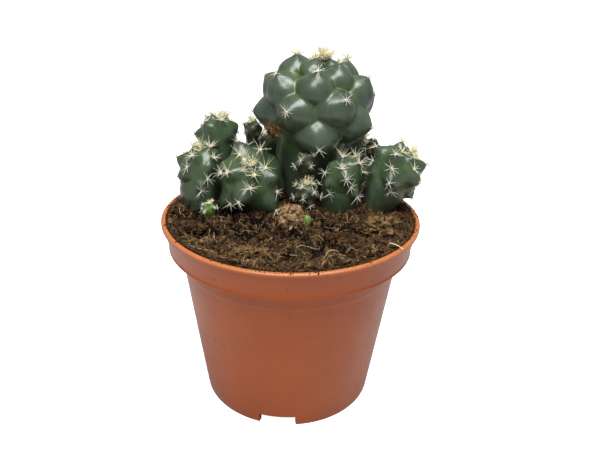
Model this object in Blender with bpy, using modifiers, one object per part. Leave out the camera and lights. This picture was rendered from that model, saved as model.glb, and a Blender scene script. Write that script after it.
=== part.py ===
"""A round, offsetting cactus in a plastic nursery pot.

Frame: metres, +Z up, origin on the pot's axis at the level of its foot. -Y is the front.
The pot is one moulding with a raised floor. The soil fills it, and a large round head
stands on the soil among smaller heads, each with knobbly tubercles and stars of spines.
"""

import math

import bmesh
import bpy
import numpy as np
from mathutils import Vector

# ---------------------------------------------------------------- driving dimensions
# Pot
POT_HEIGHT = 0.0908
LIP_RADIUS = 0.0600
LIP_WIDTH = 0.0034
LIP_HEIGHT = 0.0020
LIP_OVERHANG = 0.0012
BAND_HEIGHT = 0.0139
BAND_DRAFT = 0.0023
SHOULDER_STEP = 0.0047
FOOT_RADIUS = 0.0414
WALL = 0.0013
FLOOR_THICKNESS = 0.0016
FOOT_RECESS = 0.0052
NOTCH_HEIGHT = 0.0049
NOTCH_WIDTH = 0.0172
NOTCH_COUNT = 3
FIRST_NOTCH_DEG = -96.0
DRAIN_RADIUS = 0.0040
DRAIN_COUNT = 6
DRAIN_CIRCLE = 0.0260
POT_SEGMENTS = 54

# Soil
HEADSPACE = 0.0030
SOIL_MOUND = 0.0030
MOUND_REACH = 0.0340
MOUND_CENTRE = (0.061, 0.273)
BACK_RISE = 0.0022
RIPPLE = 0.0004
RIPPLE_TURNS = (190.0, 160.0)
SOIL_RINGS = 11
SOIL_SEGMENTS = 36

# Fits
TOUCH_GAP = 0.0003
SEAT_DEPTH = 0.0005
SEAT_MARGIN = 0.0052
SOIL_CLEARANCE = 0.0006

# Plant
GOLDEN_ANGLE = math.radians(137.508)
BODY_FULLNESS = 2.25
BODY_SHARE = 0.70
BODY_DROP = 1.30
KNOB_SHARE = 0.38
SMALLEST_KNOB = 0.35
SHOULDER_SAG = math.radians(9.0)
AREOLE_RISE = math.radians(3.5)
SKIN_SOFTNESS = 0.0005
MAIN_CLEARANCE = 1.05
SPINE_LENGTH = 0.0056
CENTRAL_SHARE = 0.55
AREOLE_RADIUS = 0.0008
RADIAL_SPINES = 7
RADIAL_SPREAD = math.radians(68.0)

# Loose bits
LUMP_SWELL = 0.16
STRAW_RADIUS = 0.0004
STRAW_BOW = 0.0006
STRAW_AIM = (0.774, -0.633)

# Colours, roughness
POT_CLAY = ((0.42, 0.135, 0.052), 0.42)
PEAT = ((0.050, 0.028, 0.014), 0.95)
GREEN_SKIN = ((0.040, 0.095, 0.050), 0.42)
YOUNG_SKIN = ((0.085, 0.190, 0.040), 0.45)
OLD_SKIN = ((0.120, 0.115, 0.045), 0.70)
DRY_TAN = ((0.330, 0.200, 0.085), 0.85)
DARK_LITTER = ((0.060, 0.035, 0.022), 0.90)
STRAW = ((0.480, 0.360, 0.190), 0.80)
PERLITE = ((0.720, 0.680, 0.600), 0.85)
SPINE_CREAM = ((0.700, 0.620, 0.400), 0.55)

# Derived levels and radii of the pot
LIP_INNER = LIP_RADIUS - LIP_WIDTH
BAND_TOP_RADIUS = LIP_RADIUS - LIP_OVERHANG
SHOULDER_Z = POT_HEIGHT - BAND_HEIGHT
BAND_FOOT_RADIUS = BAND_TOP_RADIUS - BAND_DRAFT
WALL_TOP_RADIUS = BAND_FOOT_RADIUS - SHOULDER_STEP
FLOOR_UNDER_Z = FOOT_RECESS
FLOOR_TOP_Z = FOOT_RECESS + FLOOR_THICKNESS
SOIL_LEVEL = POT_HEIGHT - HEADSPACE


def pot_wall_radius(z):
    """Outer radius of the tapered wall at a height."""
    return FOOT_RADIUS + (WALL_TOP_RADIUS - FOOT_RADIUS) * z / SHOULDER_Z


def pot_inner_radius(z):
    """Inner radius of the pot at a height above its floor."""
    if z <= SHOULDER_Z + WALL:
        return pot_wall_radius(z) - WALL
    share = (z - SHOULDER_Z - WALL) / (POT_HEIGHT - SHOULDER_Z - WALL)
    low = BAND_FOOT_RADIUS - WALL
    return low + (LIP_INNER - low) * share


SOIL_RADIUS = pot_inner_radius(SOIL_LEVEL) - TOUCH_GAP


def on_soil(place, lift):
    """A point given by shares of the soil's radius and a height above the soil's level."""
    return Vector((place[0] * SOIL_RADIUS, place[1] * SOIL_RADIUS, SOIL_LEVEL + lift))


class Head:
    """One head of the plant: a round body that carries tubercles in a golden-angle spiral.

    place, lift  middle of the body: its place across the soil, as shares of the soil's
                radius, and its height above the soil's level
    tilt, toward  lean of its axis from upright, and the compass angle it leans to (0 is +X)
    girth       radius at the tubercles' tips, where the head is widest
    rise        height of the crown above the middle
    stem, root  radius of the stem below the body, and how far down it reaches
    count       how many tubercles
    step        how far down each next tubercle lies, as an angle from the crown
    turn        compass angle that the spiral is counted from
    spin        +1 or -1, the way the spiral turns
    starred     which tubercles carry a modelled star of spines
    """

    def __init__(self, name, place, lift, tilt, toward, girth, rise, stem, root, count, step,
                 turn, spin, starred, skin, segments, seated=True):
        self.name = name
        self.centre = on_soil(place, lift)
        self.girth, self.rise, self.stem, self.root = girth, rise, stem, root
        self.knob = girth * KNOB_SHARE
        self.count, self.step = count, math.radians(step)
        self.turn, self.spin = math.radians(turn), spin
        self.starred, self.skin, self.segments = starred, skin, segments
        self.seated = seated
        lean = math.radians(toward)
        hinge = Vector((-math.sin(lean), math.cos(lean), 0.0))
        self.frame = turn_matrix(hinge, math.radians(tilt))


def turn_matrix(axis, angle):
    """Rotation about an axis, as a 3 x 3 array whose columns are the turned X, Y and Z."""
    x, y, z = axis.normalized()
    c, s, t = math.cos(angle), math.sin(angle), 1.0 - math.cos(angle)
    return np.array([
        [t * x * x + c, t * x * y - s * z, t * x * z + s * y],
        [t * x * y + s * z, t * y * y + c, t * y * z - s * x],
        [t * x * z - s * y, t * y * z + s * x, t * z * z + c],
    ])


HEADS = [
    Head("main_head", (0.202, 0.455), 0.0474, 7, -40, 0.0280, 0.0244, 0.0175, 0.0600,
         22, 5.33, 281, -1, (1, 4, 6, 8, 10, 11, 13, 15, 16, 17, 18, 19), GREEN_SKIN, (50, 32)),
    Head("front_left_head", (-0.336, 0.161), 0.0149, 42, -88, 0.0192, 0.0180, 0.0150, 0.0240,
         17, 7.7, 234, 1, (1, 4, 5, 6, 8), GREEN_SKIN, (30, 20)),
    Head("left_head", (-0.771, 0.245), 0.0175, 3, 138, 0.0126, 0.0146, 0.0114, 0.0260,
         14, 9.0, 288, 1, (3, 10, 13), GREEN_SKIN, (24, 16)),
    Head("back_left_head", (-0.654, 0.536), 0.0314, 8, 48, 0.0112, 0.0106, 0.0086, 0.0420,
         14, 9.0, 249, -1, (5, 8), GREEN_SKIN, (20, 14)),
    Head("little_back_head", (-0.357, 0.589), 0.0337, 8, -90, 0.0055, 0.0056, 0.0035, 0.0440,
         14, 8.0, 80, -1, (1,), OLD_SKIN, (14, 10)),
    Head("front_right_head", (0.425, 0.080), 0.0187, 12, -73, 0.0116, 0.0152, 0.0104, 0.0260,
         14, 9.0, 154, -1, (4, 12), GREEN_SKIN, (24, 16)),
    Head("right_head", (0.863, 0.071), 0.0234, 34, -22, 0.0137, 0.0134, 0.0116, 0.0340,
         15, 8.7, 325, -1, (1, 6, 11), GREEN_SKIN, (26, 16)),
    Head("back_right_head", (0.589, 0.661), 0.0202, 10, 30, 0.0118, 0.0118, 0.0100, 0.0260,
         14, 9.0, 40, 1, (8,), GREEN_SKIN, (20, 14)),
    Head("back_middle_head", (-0.214, 0.804), 0.0182, 10, 110, 0.0110, 0.0116, 0.0096, 0.0260,
         14, 9.0, 200, -1, (8,), GREEN_SKIN, (20, 14)),
    Head("upper_bud", (0.111, 0.054), 0.0282, 20, -90, 0.0055, 0.0060, 0.0035, 0.0090,
         12, 9.0, 0, 1, (), OLD_SKIN, (14, 10), False),
    Head("lower_bud", (0.132, -0.018), 0.0137, 25, -90, 0.0062, 0.0064, 0.0045, 0.0180,
         14, 8.5, 50, -1, (1,), OLD_SKIN, (14, 10)),
    Head("young_bud", (-0.670, -0.098), 0.0059, 10, -90, 0.0034, 0.0046, 0.0024, 0.0090,
         9, 11.0, 0, 1, (), YOUNG_SKIN, (12, 8)),
]
MAIN = HEADS[0]


# ---------------------------------------------------------------- small helpers
def clear_scene():
    for obj in list(bpy.data.objects):
        bpy.data.objects.remove(obj, do_unlink=True)


def new_collection(name):
    group = bpy.data.collections.new(name)
    bpy.context.scene.collection.children.link(group)
    return group


def material(name, look):
    colour, roughness = look
    made = bpy.data.materials.new(name)
    made.use_nodes = True
    shader = made.node_tree.nodes["Principled BSDF"]
    shader.inputs["Base Color"].default_value = (*colour, 1.0)
    shader.inputs["Roughness"].default_value = roughness
    shader.inputs["Metallic"].default_value = 0.0
    return made


def add_object(name, mesh, group, look=None):
    obj = bpy.data.objects.new(name, mesh)
    group.objects.link(obj)
    if look is not None:
        obj.data.materials.append(material(name, look))
    return obj


def as_mesh(obj, name, group, look):
    """Replaces an object by the mesh that its modifiers make, with its doubles merged."""
    bpy.context.view_layer.update()
    evaluated = obj.evaluated_get(bpy.context.evaluated_depsgraph_get())
    mesh = bpy.data.meshes.new_from_object(evaluated)
    place = obj.matrix_world.copy()
    bpy.data.objects.remove(obj, do_unlink=True)
    work = bmesh.new()
    work.from_mesh(mesh)
    bmesh.ops.remove_doubles(work, verts=work.verts, dist=0.00001)
    work.to_mesh(mesh)
    work.free()
    mesh.materials.clear()
    made = add_object(name, mesh, group, look)
    made.matrix_world = place
    return made


def turned(name, profile, segments, group, look):
    """A round solid from a profile of (radius, height) points that runs down its outer side."""
    mesh = bpy.data.meshes.new(name)
    points = [(r, 0.0, z) for r, z in profile]
    mesh.from_pydata(points, [(i, i + 1) for i in range(len(points) - 1)], [])
    obj = add_object(name, mesh, group)
    screw = obj.modifiers.new("turn", "SCREW")
    screw.steps = segments
    screw.render_steps = segments
    screw.use_merge_vertices = True
    screw.merge_threshold = 0.00001
    return as_mesh(obj, name, group, look)


def cut(obj, cutter):
    change = obj.modifiers.new("cut_" + cutter.name, "BOOLEAN")
    change.operation = "DIFFERENCE"
    change.solver = "EXACT"
    change.object = cutter


def cutter_from(name, work, group):
    mesh = bpy.data.meshes.new(name)
    work.to_mesh(mesh)
    work.free()
    obj = add_object(name, mesh, group)
    obj.hide_render = True
    obj.display_type = "WIRE"
    return obj


def smooth(obj, crease_deg=35.0):
    obj.data.shade_smooth()
    obj.data.set_sharp_from_angle(angle=math.radians(crease_deg))


# ---------------------------------------------------------------- pot
def pot_profile():
    lip_under = POT_HEIGHT - LIP_HEIGHT
    edge = 0.0005
    return [
        (0.0, FLOOR_TOP_Z),
        (pot_wall_radius(FLOOR_TOP_Z) - WALL, FLOOR_TOP_Z),
        (pot_wall_radius(SHOULDER_Z + WALL) - WALL, SHOULDER_Z + WALL),
        (BAND_FOOT_RADIUS - WALL, SHOULDER_Z + WALL),
        (LIP_INNER, POT_HEIGHT - edge),
        (LIP_INNER + edge, POT_HEIGHT),
        (LIP_RADIUS - edge, POT_HEIGHT),
        (LIP_RADIUS, POT_HEIGHT - edge),
        (LIP_RADIUS, lip_under + edge),
        (LIP_RADIUS - edge, lip_under),
        (BAND_TOP_RADIUS, lip_under),
        (BAND_FOOT_RADIUS + edge * 0.4, SHOULDER_Z + edge),
        (BAND_FOOT_RADIUS - edge, SHOULDER_Z),
        (WALL_TOP_RADIUS, SHOULDER_Z),
        (pot_wall_radius(edge), edge),
        (FOOT_RADIUS - edge, 0.0),
        (FOOT_RADIUS - 2.0 * WALL, 0.0),
        (FOOT_RADIUS - 2.0 * WALL, FLOOR_UNDER_Z),
        (0.0, FLOOR_UNDER_Z),
    ]


def notch_cutter(index, group):
    """A block that takes one drainage notch out of the foot ring, a little wider below."""
    work = bmesh.new()
    bmesh.ops.create_cube(work, size=1.0)
    below = 0.002
    depth = 0.010
    flare = 1.12
    angle = math.radians(FIRST_NOTCH_DEG) + math.tau * index / NOTCH_COUNT
    for vert in work.verts:
        wide = flare if vert.co.z < 0.0 else 1.0
        vert.co.x = FOOT_RADIUS + vert.co.x * depth
        vert.co.y *= NOTCH_WIDTH * wide
        vert.co.z = NOTCH_HEIGHT if vert.co.z > 0.0 else -below
    turn = turn_matrix(Vector((0.0, 0.0, 1.0)), angle)
    for vert in work.verts:
        vert.co = Vector(turn @ np.array(vert.co))
    return cutter_from(f"notch_{index + 1}", work, group)


def drain_cutter(index, group):
    work = bmesh.new()
    angle = math.tau * (index + 0.5) / DRAIN_COUNT
    bmesh.ops.create_cone(work, cap_ends=True, segments=20, radius1=DRAIN_RADIUS,
                          radius2=DRAIN_RADIUS, depth=FLOOR_THICKNESS * 4.0)
    shift = Vector((DRAIN_CIRCLE * math.cos(angle), DRAIN_CIRCLE * math.sin(angle),
                    (FLOOR_UNDER_Z + FLOOR_TOP_Z) / 2.0))
    bmesh.ops.translate(work, verts=work.verts, vec=shift)
    return cutter_from(f"drain_{index + 1}", work, group)


def build_pot(parts, cutters):
    pot = turned("pot", pot_profile(), POT_SEGMENTS, parts, POT_CLAY)
    for index in range(NOTCH_COUNT):
        cut(pot, notch_cutter(index, cutters))
    for index in range(DRAIN_COUNT):
        cut(pot, drain_cutter(index, cutters))
    smooth(pot)


# ---------------------------------------------------------------- plant
def spiral(head, order, lower):
    """Unit directions to points of a head's spiral, in the head's own frame. Point n lies
    n steps down from the crown, and an angle lower, and n golden angles round."""
    down = order * head.step + lower
    around = head.turn + head.spin * GOLDEN_ANGLE * order
    return np.stack([np.sin(down) * np.cos(around), np.sin(down) * np.sin(around),
                     np.cos(down)], axis=1)


def tubercles(head):
    """Centres and radii of a head's tubercle balls, whose tips touch the head's outline.

    A ball hangs below its point of the spiral, the most on the head's shoulders. Its size
    follows the room it has there: small at the crown, full grown in the widest ring.
    """
    order = np.arange(1, head.count + 1)
    down = order * head.step
    aim = spiral(head, order, SHOULDER_SAG * np.clip(np.sin(2.0 * down), 0.0, 1.0))
    room = np.sqrt(np.abs(np.sin(down)))
    radius = head.knob * np.clip(room, SMALLEST_KNOB, 1.0)
    return aim * (outline(head, aim) - radius)[:, None], radius


def outline(head, aim):
    """Distance from the centre to the full-shouldered round that the tubercles' tips touch,
    along unit directions. It is deeper below the middle than above."""
    height = np.where(aim[:, 2] >= 0.0, head.rise, head.girth * BODY_DROP)
    across = np.hypot(aim[:, 0], aim[:, 1]) / head.girth
    up = np.abs(aim[:, 2]) / height
    return (across ** BODY_FULLNESS + up ** BODY_FULLNESS) ** (-1.0 / BODY_FULLNESS)


def stem_length(head, aim):
    """Distance to the skin of the stem, a round column with a blunt end, along the rays
    that point down, and nothing along the others."""
    across = np.hypot(aim[:, 0], aim[:, 1]) / head.stem
    down = np.maximum(-aim[:, 2], 0.0) / head.root
    length = np.maximum(across ** 4 + down ** 4, 1e-12) ** -0.25
    return np.where(aim[:, 2] < 0.0, length, 0.0)


def skin_radius(head, aim):
    """Distance to the knobbly skin: a soft maximum of the body, the stem and every
    tubercle ball, which leaves a rounded crease where two of them meet."""
    centres, radii = tubercles(head)
    along = aim @ centres.T
    inside = radii ** 2 - (centres ** 2).sum(1) + along ** 2
    hit = np.where(inside > 0.0, along + np.sqrt(np.maximum(inside, 0.0)), 0.0)
    smooth_parts = [outline(head, aim) * BODY_SHARE, stem_length(head, aim)]
    every = np.concatenate([np.stack(smooth_parts, axis=1), hit], axis=1)
    top = every.max(1, keepdims=True)
    return top[:, 0] + SKIN_SOFTNESS * np.log(np.exp((every - top) / SKIN_SOFTNESS).sum(1))


def press_planes(head):
    """Flat faces where a head is pressed by the others: (outward normal, distance).

    Two heads that both stand on the soil meet at an upright face between them."""
    planes = []
    half_gap = TOUCH_GAP / 2.0
    for other in HEADS:
        if other is head or head is MAIN:
            continue
        toward = other.centre - head.centre
        if head.seated and other.seated and other is not MAIN:
            toward.z = 0.0
        apart = toward.length
        share = (apart ** 2 + head.girth ** 2 - other.girth ** 2) / (2.0 * apart)
        if other is MAIN:
            share = apart - MAIN.girth * MAIN_CLEARANCE
        planes.append((toward / apart, share - half_gap))
    if head is not MAIN:
        planes.append(stem_plane(head))
    if head.seated:
        planes.append((Vector((0.0, 0.0, -1.0)), head.centre.z - seat_level(head)))
    return planes


def stem_plane(head):
    """The upright face that keeps a smaller head off the main head's leaning stem."""
    axis = Vector(MAIN.frame[:, 2])
    heights = (SOIL_LEVEL, head.centre.z, head.centre.z + head.rise)
    along = [MAIN.centre + axis * ((z - MAIN.centre.z) / axis.z) - head.centre for z in heights]
    inward = Vector((along[1].x, along[1].y, 0.0)).normalized()
    nearest = min(inward.dot(way) for way in along)
    return inward, nearest - MAIN.stem - TOUCH_GAP


def press(head, aim, radius):
    """Shortens each ray that would pass through one of the head's pressed faces."""
    for normal, distance in press_planes(head):
        toward = aim @ (head.frame.T @ np.array(normal))
        limit = np.where(toward > 1e-6, distance / np.maximum(toward, 1e-6), np.inf)
        radius = np.minimum(radius, limit)
    return radius


def build_head(head, parts):
    across, up = head.segments
    work = bmesh.new()
    bmesh.ops.create_uvsphere(work, u_segments=across, v_segments=up, radius=1.0)
    aim = np.array([v.co.normalized() for v in work.verts])
    radius = press(head, aim, skin_radius(head, aim))
    place = (aim * radius[:, None]) @ head.frame.T + np.array(head.centre)
    for vert, co in zip(work.verts, place):
        vert.co = co
    bmesh.ops.remove_doubles(work, verts=work.verts, dist=0.00002)
    mesh = bpy.data.meshes.new(head.name)
    work.to_mesh(mesh)
    work.free()
    smooth(add_object(head.name, mesh, parts, head.skin), 60.0)


def spine_star(name, foot, outward, parts):
    """An areole pad with a ring of spines and a shorter one in the middle, drawn out of
    a small ball so that the whole star is one closed body."""
    work = bmesh.new()
    bmesh.ops.create_uvsphere(work, u_segments=RADIAL_SPINES * 2, v_segments=4,
                              radius=AREOLE_RADIUS)
    upper = AREOLE_RADIUS * 0.5
    for vert in work.verts:
        around = math.atan2(vert.co.y, vert.co.x)
        if vert.co.z > AREOLE_RADIUS * 0.99:
            vert.co.z = SPINE_LENGTH * CENTRAL_SHARE
        elif vert.co.z > upper and round(around / math.pi * RADIAL_SPINES) % 2 == 0:
            vert.co.x = math.cos(around) * math.sin(RADIAL_SPREAD) * SPINE_LENGTH
            vert.co.y = math.sin(around) * math.sin(RADIAL_SPREAD) * SPINE_LENGTH
            vert.co.z = math.cos(RADIAL_SPREAD) * SPINE_LENGTH
    turn = outward.to_track_quat("Z", "Y").to_matrix()
    for vert in work.verts:
        vert.co = turn @ vert.co + foot + outward * (AREOLE_RADIUS + TOUCH_GAP)
    mesh = bpy.data.meshes.new(name)
    work.to_mesh(mesh)
    work.free()
    add_object(name, mesh, parts, SPINE_CREAM)


def build_spines(head, parts):
    """A star on each starred tubercle, at its point of the spiral, facing away from the
    middle of its ball."""
    centres = tubercles(head)[0]
    order = np.arange(1, head.count + 1)
    rays = spiral(head, order, -AREOLE_RISE)
    feet = rays * skin_radius(head, rays)[:, None]
    for index in head.starred:
        foot = feet[index - 1]
        outward = Vector(head.frame @ (foot - centres[index - 1])).normalized()
        spine_star(f"{head.name}_spines_{index:02d}", Vector(head.frame @ foot) + head.centre,
                   outward, parts)


# ---------------------------------------------------------------- soil
def open_soil(x, y):
    """Height of the soil's surface before the heads press their seats into it."""
    plant = math.hypot(x - MOUND_CENTRE[0] * SOIL_RADIUS, y - MOUND_CENTRE[1] * SOIL_RADIUS)
    mound = SOIL_MOUND * math.exp(-(plant / MOUND_REACH) ** 2)
    back = BACK_RISE * max(0.0, y) / LIP_RADIUS
    ripple = RIPPLE * math.sin(x * RIPPLE_TURNS[0] + 0.6) * math.cos(y * RIPPLE_TURNS[1])
    return SOIL_LEVEL + mound + back + ripple


def seat_level(head):
    return open_soil(head.centre.x, head.centre.y) - SEAT_DEPTH


def foot_reach(head):
    """Radius of the ground that a seated head covers."""
    lean = abs(head.frame[2, 2])
    return head.girth * (2.0 - lean) + SEAT_MARGIN


def soil_height(x, y):
    """The open surface, lowered to a flat seat beneath each seated head."""
    height = open_soil(x, y)
    for head in HEADS:
        reach = SEAT_MARGIN + head.girth if head is MAIN else foot_reach(head)
        near = math.hypot(x - head.centre.x, y - head.centre.y)
        if head.seated and near < reach:
            height = min(height, seat_level(head) - TOUCH_GAP)
    return height


def soil_profile():
    """From the middle of the top out to the pot's wall, and down inside it to the floor."""
    ledge = SHOULDER_Z + WALL + TOUCH_GAP
    low = FLOOR_TOP_Z + TOUCH_GAP
    rings = [(SOIL_RADIUS * i / SOIL_RINGS, SOIL_LEVEL) for i in range(SOIL_RINGS + 1)]
    return rings + [
        (BAND_FOOT_RADIUS - WALL - TOUCH_GAP, ledge),
        (pot_wall_radius(ledge) - WALL - TOUCH_GAP, ledge),
        (pot_wall_radius(low) - WALL - TOUCH_GAP, low),
        (0.0, low),
    ]


def build_soil(parts):
    soil = turned("potting_soil", soil_profile(), SOIL_SEGMENTS, parts, PEAT)
    for vert in soil.data.vertices:
        if abs(vert.co.z - SOIL_LEVEL) < 0.00001:
            vert.co.z = soil_height(vert.co.x, vert.co.y)
    smooth(soil, 50.0)


# ---------------------------------------------------------------- loose and dried bits
def lump(name, place, lift, size, look, parts, waves, turn_deg=0.0, laid=True):
    """A crumpled solid: a ball stretched to three half sizes, with shallow waves round it,
    and with its underside laid along the soil where it lies there."""
    work = bmesh.new()
    bmesh.ops.create_icosphere(work, subdivisions=2, radius=1.0)
    spin = turn_matrix(Vector((0.0, 0.0, 1.0)), math.radians(turn_deg))
    for vert in work.verts:
        x, y, z = vert.co
        wave = math.sin(waves * x + 1.3) * math.sin(waves * y + 0.4) * math.cos(waves * z)
        swell = 1.0 + LUMP_SWELL * wave
        local = np.array([x * size[0], y * size[1], z * size[2]]) * swell
        vert.co = Vector(spin @ local) + on_soil(place, lift)
        if laid:
            vert.co.z = max(vert.co.z, open_soil(vert.co.x, vert.co.y) + SOIL_CLEARANCE)
    bmesh.ops.remove_doubles(work, verts=work.verts, dist=0.00002)
    mesh = bpy.data.meshes.new(name)
    work.to_mesh(mesh)
    work.free()
    smooth(add_object(name, mesh, parts, look), 60.0)


def build_straw(parts):
    """A short dry stalk that lies on the soil's edge and across the lip."""
    curve = bpy.data.curves.new("straw", "CURVE")
    curve.dimensions = "3D"
    curve.bevel_depth = STRAW_RADIUS
    curve.bevel_resolution = 1
    curve.use_fill_caps = True
    line = curve.splines.new("POLY")
    over = POT_HEIGHT + STRAW_RADIUS + TOUCH_GAP
    inner = Vector((*(LIP_INNER * share for share in STRAW_AIM), over + STRAW_RADIUS * 1.5))
    outer = Vector((*(LIP_RADIUS * share for share in STRAW_AIM), over))
    line.points.add(3)
    for index, point in enumerate(line.points):
        share = index / 3.0
        bow = STRAW_BOW * math.sin(math.pi * share)
        point.co = (*(inner.lerp(outer, share) + Vector((0.0, 0.0, bow))), 1.0)
    obj = bpy.data.objects.new("straw_curve", curve)
    parts.objects.link(obj)
    as_mesh(obj, "straw", parts, STRAW)


def build_bits(parts):
    """Each bit by its place across the soil, its lift above it, and its three half sizes."""
    lump("dry_bud", (0.011, -0.259), 0.0047, (0.0056, 0.0048, 0.0060), DRY_TAN, parts, 5.0)
    lump("dried_flower", (-0.157, 0.107), 0.0407, (0.0042, 0.0032, 0.0034), DARK_LITTER,
         parts, 6.0, laid=False)
    lump("corky_stub", (0.688, 0.286), 0.0297, (0.0034, 0.0030, 0.0044), DRY_TAN, parts,
         5.0, laid=False)
    lump("clod_front", (-0.321, -0.759), 0.0007, (0.0072, 0.0045, 0.0026), DRY_TAN, parts,
         4.0, 12.0)
    lump("clod_right", (0.705, -0.232), 0.0017, (0.0085, 0.0060, 0.0030), DRY_TAN, parts,
         4.0, 30.0)
    lump("clod_right_front", (0.446, -0.473), 0.0002, (0.0080, 0.0052, 0.0026), DARK_LITTER,
         parts, 4.0, -15.0)
    lump("clod_left", (-0.786, -0.321), 0.0007, (0.0052, 0.0060, 0.0028), DARK_LITTER,
         parts, 4.0, 20.0)
    lump("leaf_scrap", (0.920, 0.366), 0.0067, (0.0034, 0.0009, 0.0036), DARK_LITTER, parts,
         3.0, -25.0)
    lump("perlite_grain", (0.123, -0.848), 0.0009, (0.0013, 0.0011, 0.0010), PERLITE, parts,
         3.0)
    build_straw(parts)


def main():
    clear_scene()
    parts = new_collection("potted_round_cactus")
    cutters = new_collection("cutters")
    build_pot(parts, cutters)
    build_soil(parts)
    for head in HEADS:
        build_head(head, parts)
        build_spines(head, parts)
    build_bits(parts)


main()
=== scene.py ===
# %% [markdown]
# # A round cactus and its offsets in a nursery pot
#
# The plant is one large head of fat, rounded tubercles with a cluster of smaller heads at
# its foot, potted in fibrous peat in a thin clay-coloured pot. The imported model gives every
# part its true place and size. This lesson keeps those, and gives each part the finer shape
# and the finish that the real one has. Nothing here is stored as a picture or as a table of
# points: each surface comes from a formula, so it can be read, changed and reused.

import math

import bmesh
import bpy
import numpy as np
from mathutils import Matrix, Vector


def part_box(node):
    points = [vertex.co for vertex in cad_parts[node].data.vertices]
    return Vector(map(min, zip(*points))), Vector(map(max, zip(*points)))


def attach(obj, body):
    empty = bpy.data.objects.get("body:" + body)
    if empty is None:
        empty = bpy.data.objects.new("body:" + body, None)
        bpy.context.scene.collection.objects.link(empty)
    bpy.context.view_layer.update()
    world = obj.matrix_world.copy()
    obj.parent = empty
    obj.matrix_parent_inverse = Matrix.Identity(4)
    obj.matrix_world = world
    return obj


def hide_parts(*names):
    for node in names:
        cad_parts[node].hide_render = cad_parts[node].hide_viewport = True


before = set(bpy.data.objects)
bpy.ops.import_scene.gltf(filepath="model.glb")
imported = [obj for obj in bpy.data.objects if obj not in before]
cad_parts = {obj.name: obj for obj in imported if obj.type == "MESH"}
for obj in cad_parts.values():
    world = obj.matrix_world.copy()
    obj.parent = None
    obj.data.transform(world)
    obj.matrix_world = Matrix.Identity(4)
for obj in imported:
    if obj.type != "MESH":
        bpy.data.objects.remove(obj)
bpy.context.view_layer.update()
print("packed nodes:", len(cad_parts))

# %% [markdown]
# ## The camera, the floor and the light
#
# The camera looks down at the pot from the front, close enough for the pot to taper in
# perspective. It is placed by its distance and height angle about a point on the pot's axis,
# then turned a little to frame the plant. The light is soft and comes mostly from above, with
# a pale floor and pale surroundings that show as grey-white sheens on the skin and the pot.

# %% Camera
AIM_HEIGHT = 0.050
CAMERA_DISTANCE = 0.3004
CAMERA_RISE = 0.5263
CAMERA_PITCH, CAMERA_YAW, CAMERA_ROLL = 0.4213, 0.0172, 0.0274
LENS_MM = 35.95


def camera_matrix():
    """Turns the lens axis down by the pitch, round by the yaw and about itself by the roll."""
    cp, sp = math.cos(CAMERA_PITCH), math.sin(CAMERA_PITCH)
    cy, sy = math.cos(CAMERA_YAW), math.sin(CAMERA_YAW)
    forward = Vector((sy * cp, cy * cp, -sp))
    level = Vector((cy, -sy, 0.0))
    above = level.cross(forward)
    right = level * math.cos(CAMERA_ROLL) + above * math.sin(CAMERA_ROLL)
    up = above * math.cos(CAMERA_ROLL) - level * math.sin(CAMERA_ROLL)
    place = Vector((0.0, -CAMERA_DISTANCE * math.cos(CAMERA_RISE),
                    AIM_HEIGHT + CAMERA_DISTANCE * math.sin(CAMERA_RISE)))
    turn = Matrix((right, up, -forward)).transposed().to_4x4()
    return Matrix.Translation(place) @ turn


camera_data = bpy.data.cameras.new("camera")
camera_data.lens = LENS_MM
camera_data.sensor_width = 36.0
camera_data.clip_start = 0.01
camera = bpy.data.objects.new("camera", camera_data)
bpy.context.scene.collection.objects.link(camera)
camera.matrix_world = camera_matrix()
bpy.context.scene.camera = camera
print("camera stands at", tuple(round(v, 3) for v in camera.location))

# %% Floor and light
FLOOR_HALF = 8.0


def area_light(name, place, aim, size, power):
    """A square lamp that faces a point."""
    data = bpy.data.lights.new(name, "AREA")
    data.size = size
    data.energy = power
    lamp = bpy.data.objects.new(name, data)
    bpy.context.scene.collection.objects.link(lamp)
    lamp.location = place
    lamp.rotation_euler = (Vector(aim) - Vector(place)).to_track_quat("-Z", "Y").to_euler()
    return lamp


floor_mesh = bpy.data.meshes.new("floor")
floor_mesh.from_pydata([(-FLOOR_HALF, -FLOOR_HALF, 0), (FLOOR_HALF, -FLOOR_HALF, 0),
                        (FLOOR_HALF, FLOOR_HALF, 0), (-FLOOR_HALF, FLOOR_HALF, 0)], [],
                       [(0, 1, 2, 3)])
floor = bpy.data.objects.new("floor", floor_mesh)
bpy.context.scene.collection.objects.link(floor)
floor_look = bpy.data.materials.new("pale_floor")
floor_look.use_nodes = True
floor_shader = floor_look.node_tree.nodes["Principled BSDF"]
floor_shader.inputs["Base Color"].default_value = (0.66, 0.66, 0.66, 1.0)
floor_shader.inputs["Roughness"].default_value = 0.9
floor_shader.inputs["Emission Color"].default_value = (1.0, 1.0, 1.0, 1.0)
floor_seen = floor_look.node_tree.nodes.new("ShaderNodeLightPath").outputs["Is Camera Ray"]
floor_look.node_tree.links.new(floor_seen, floor_shader.inputs["Emission Strength"])
floor_mesh.materials.append(floor_look)

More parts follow.
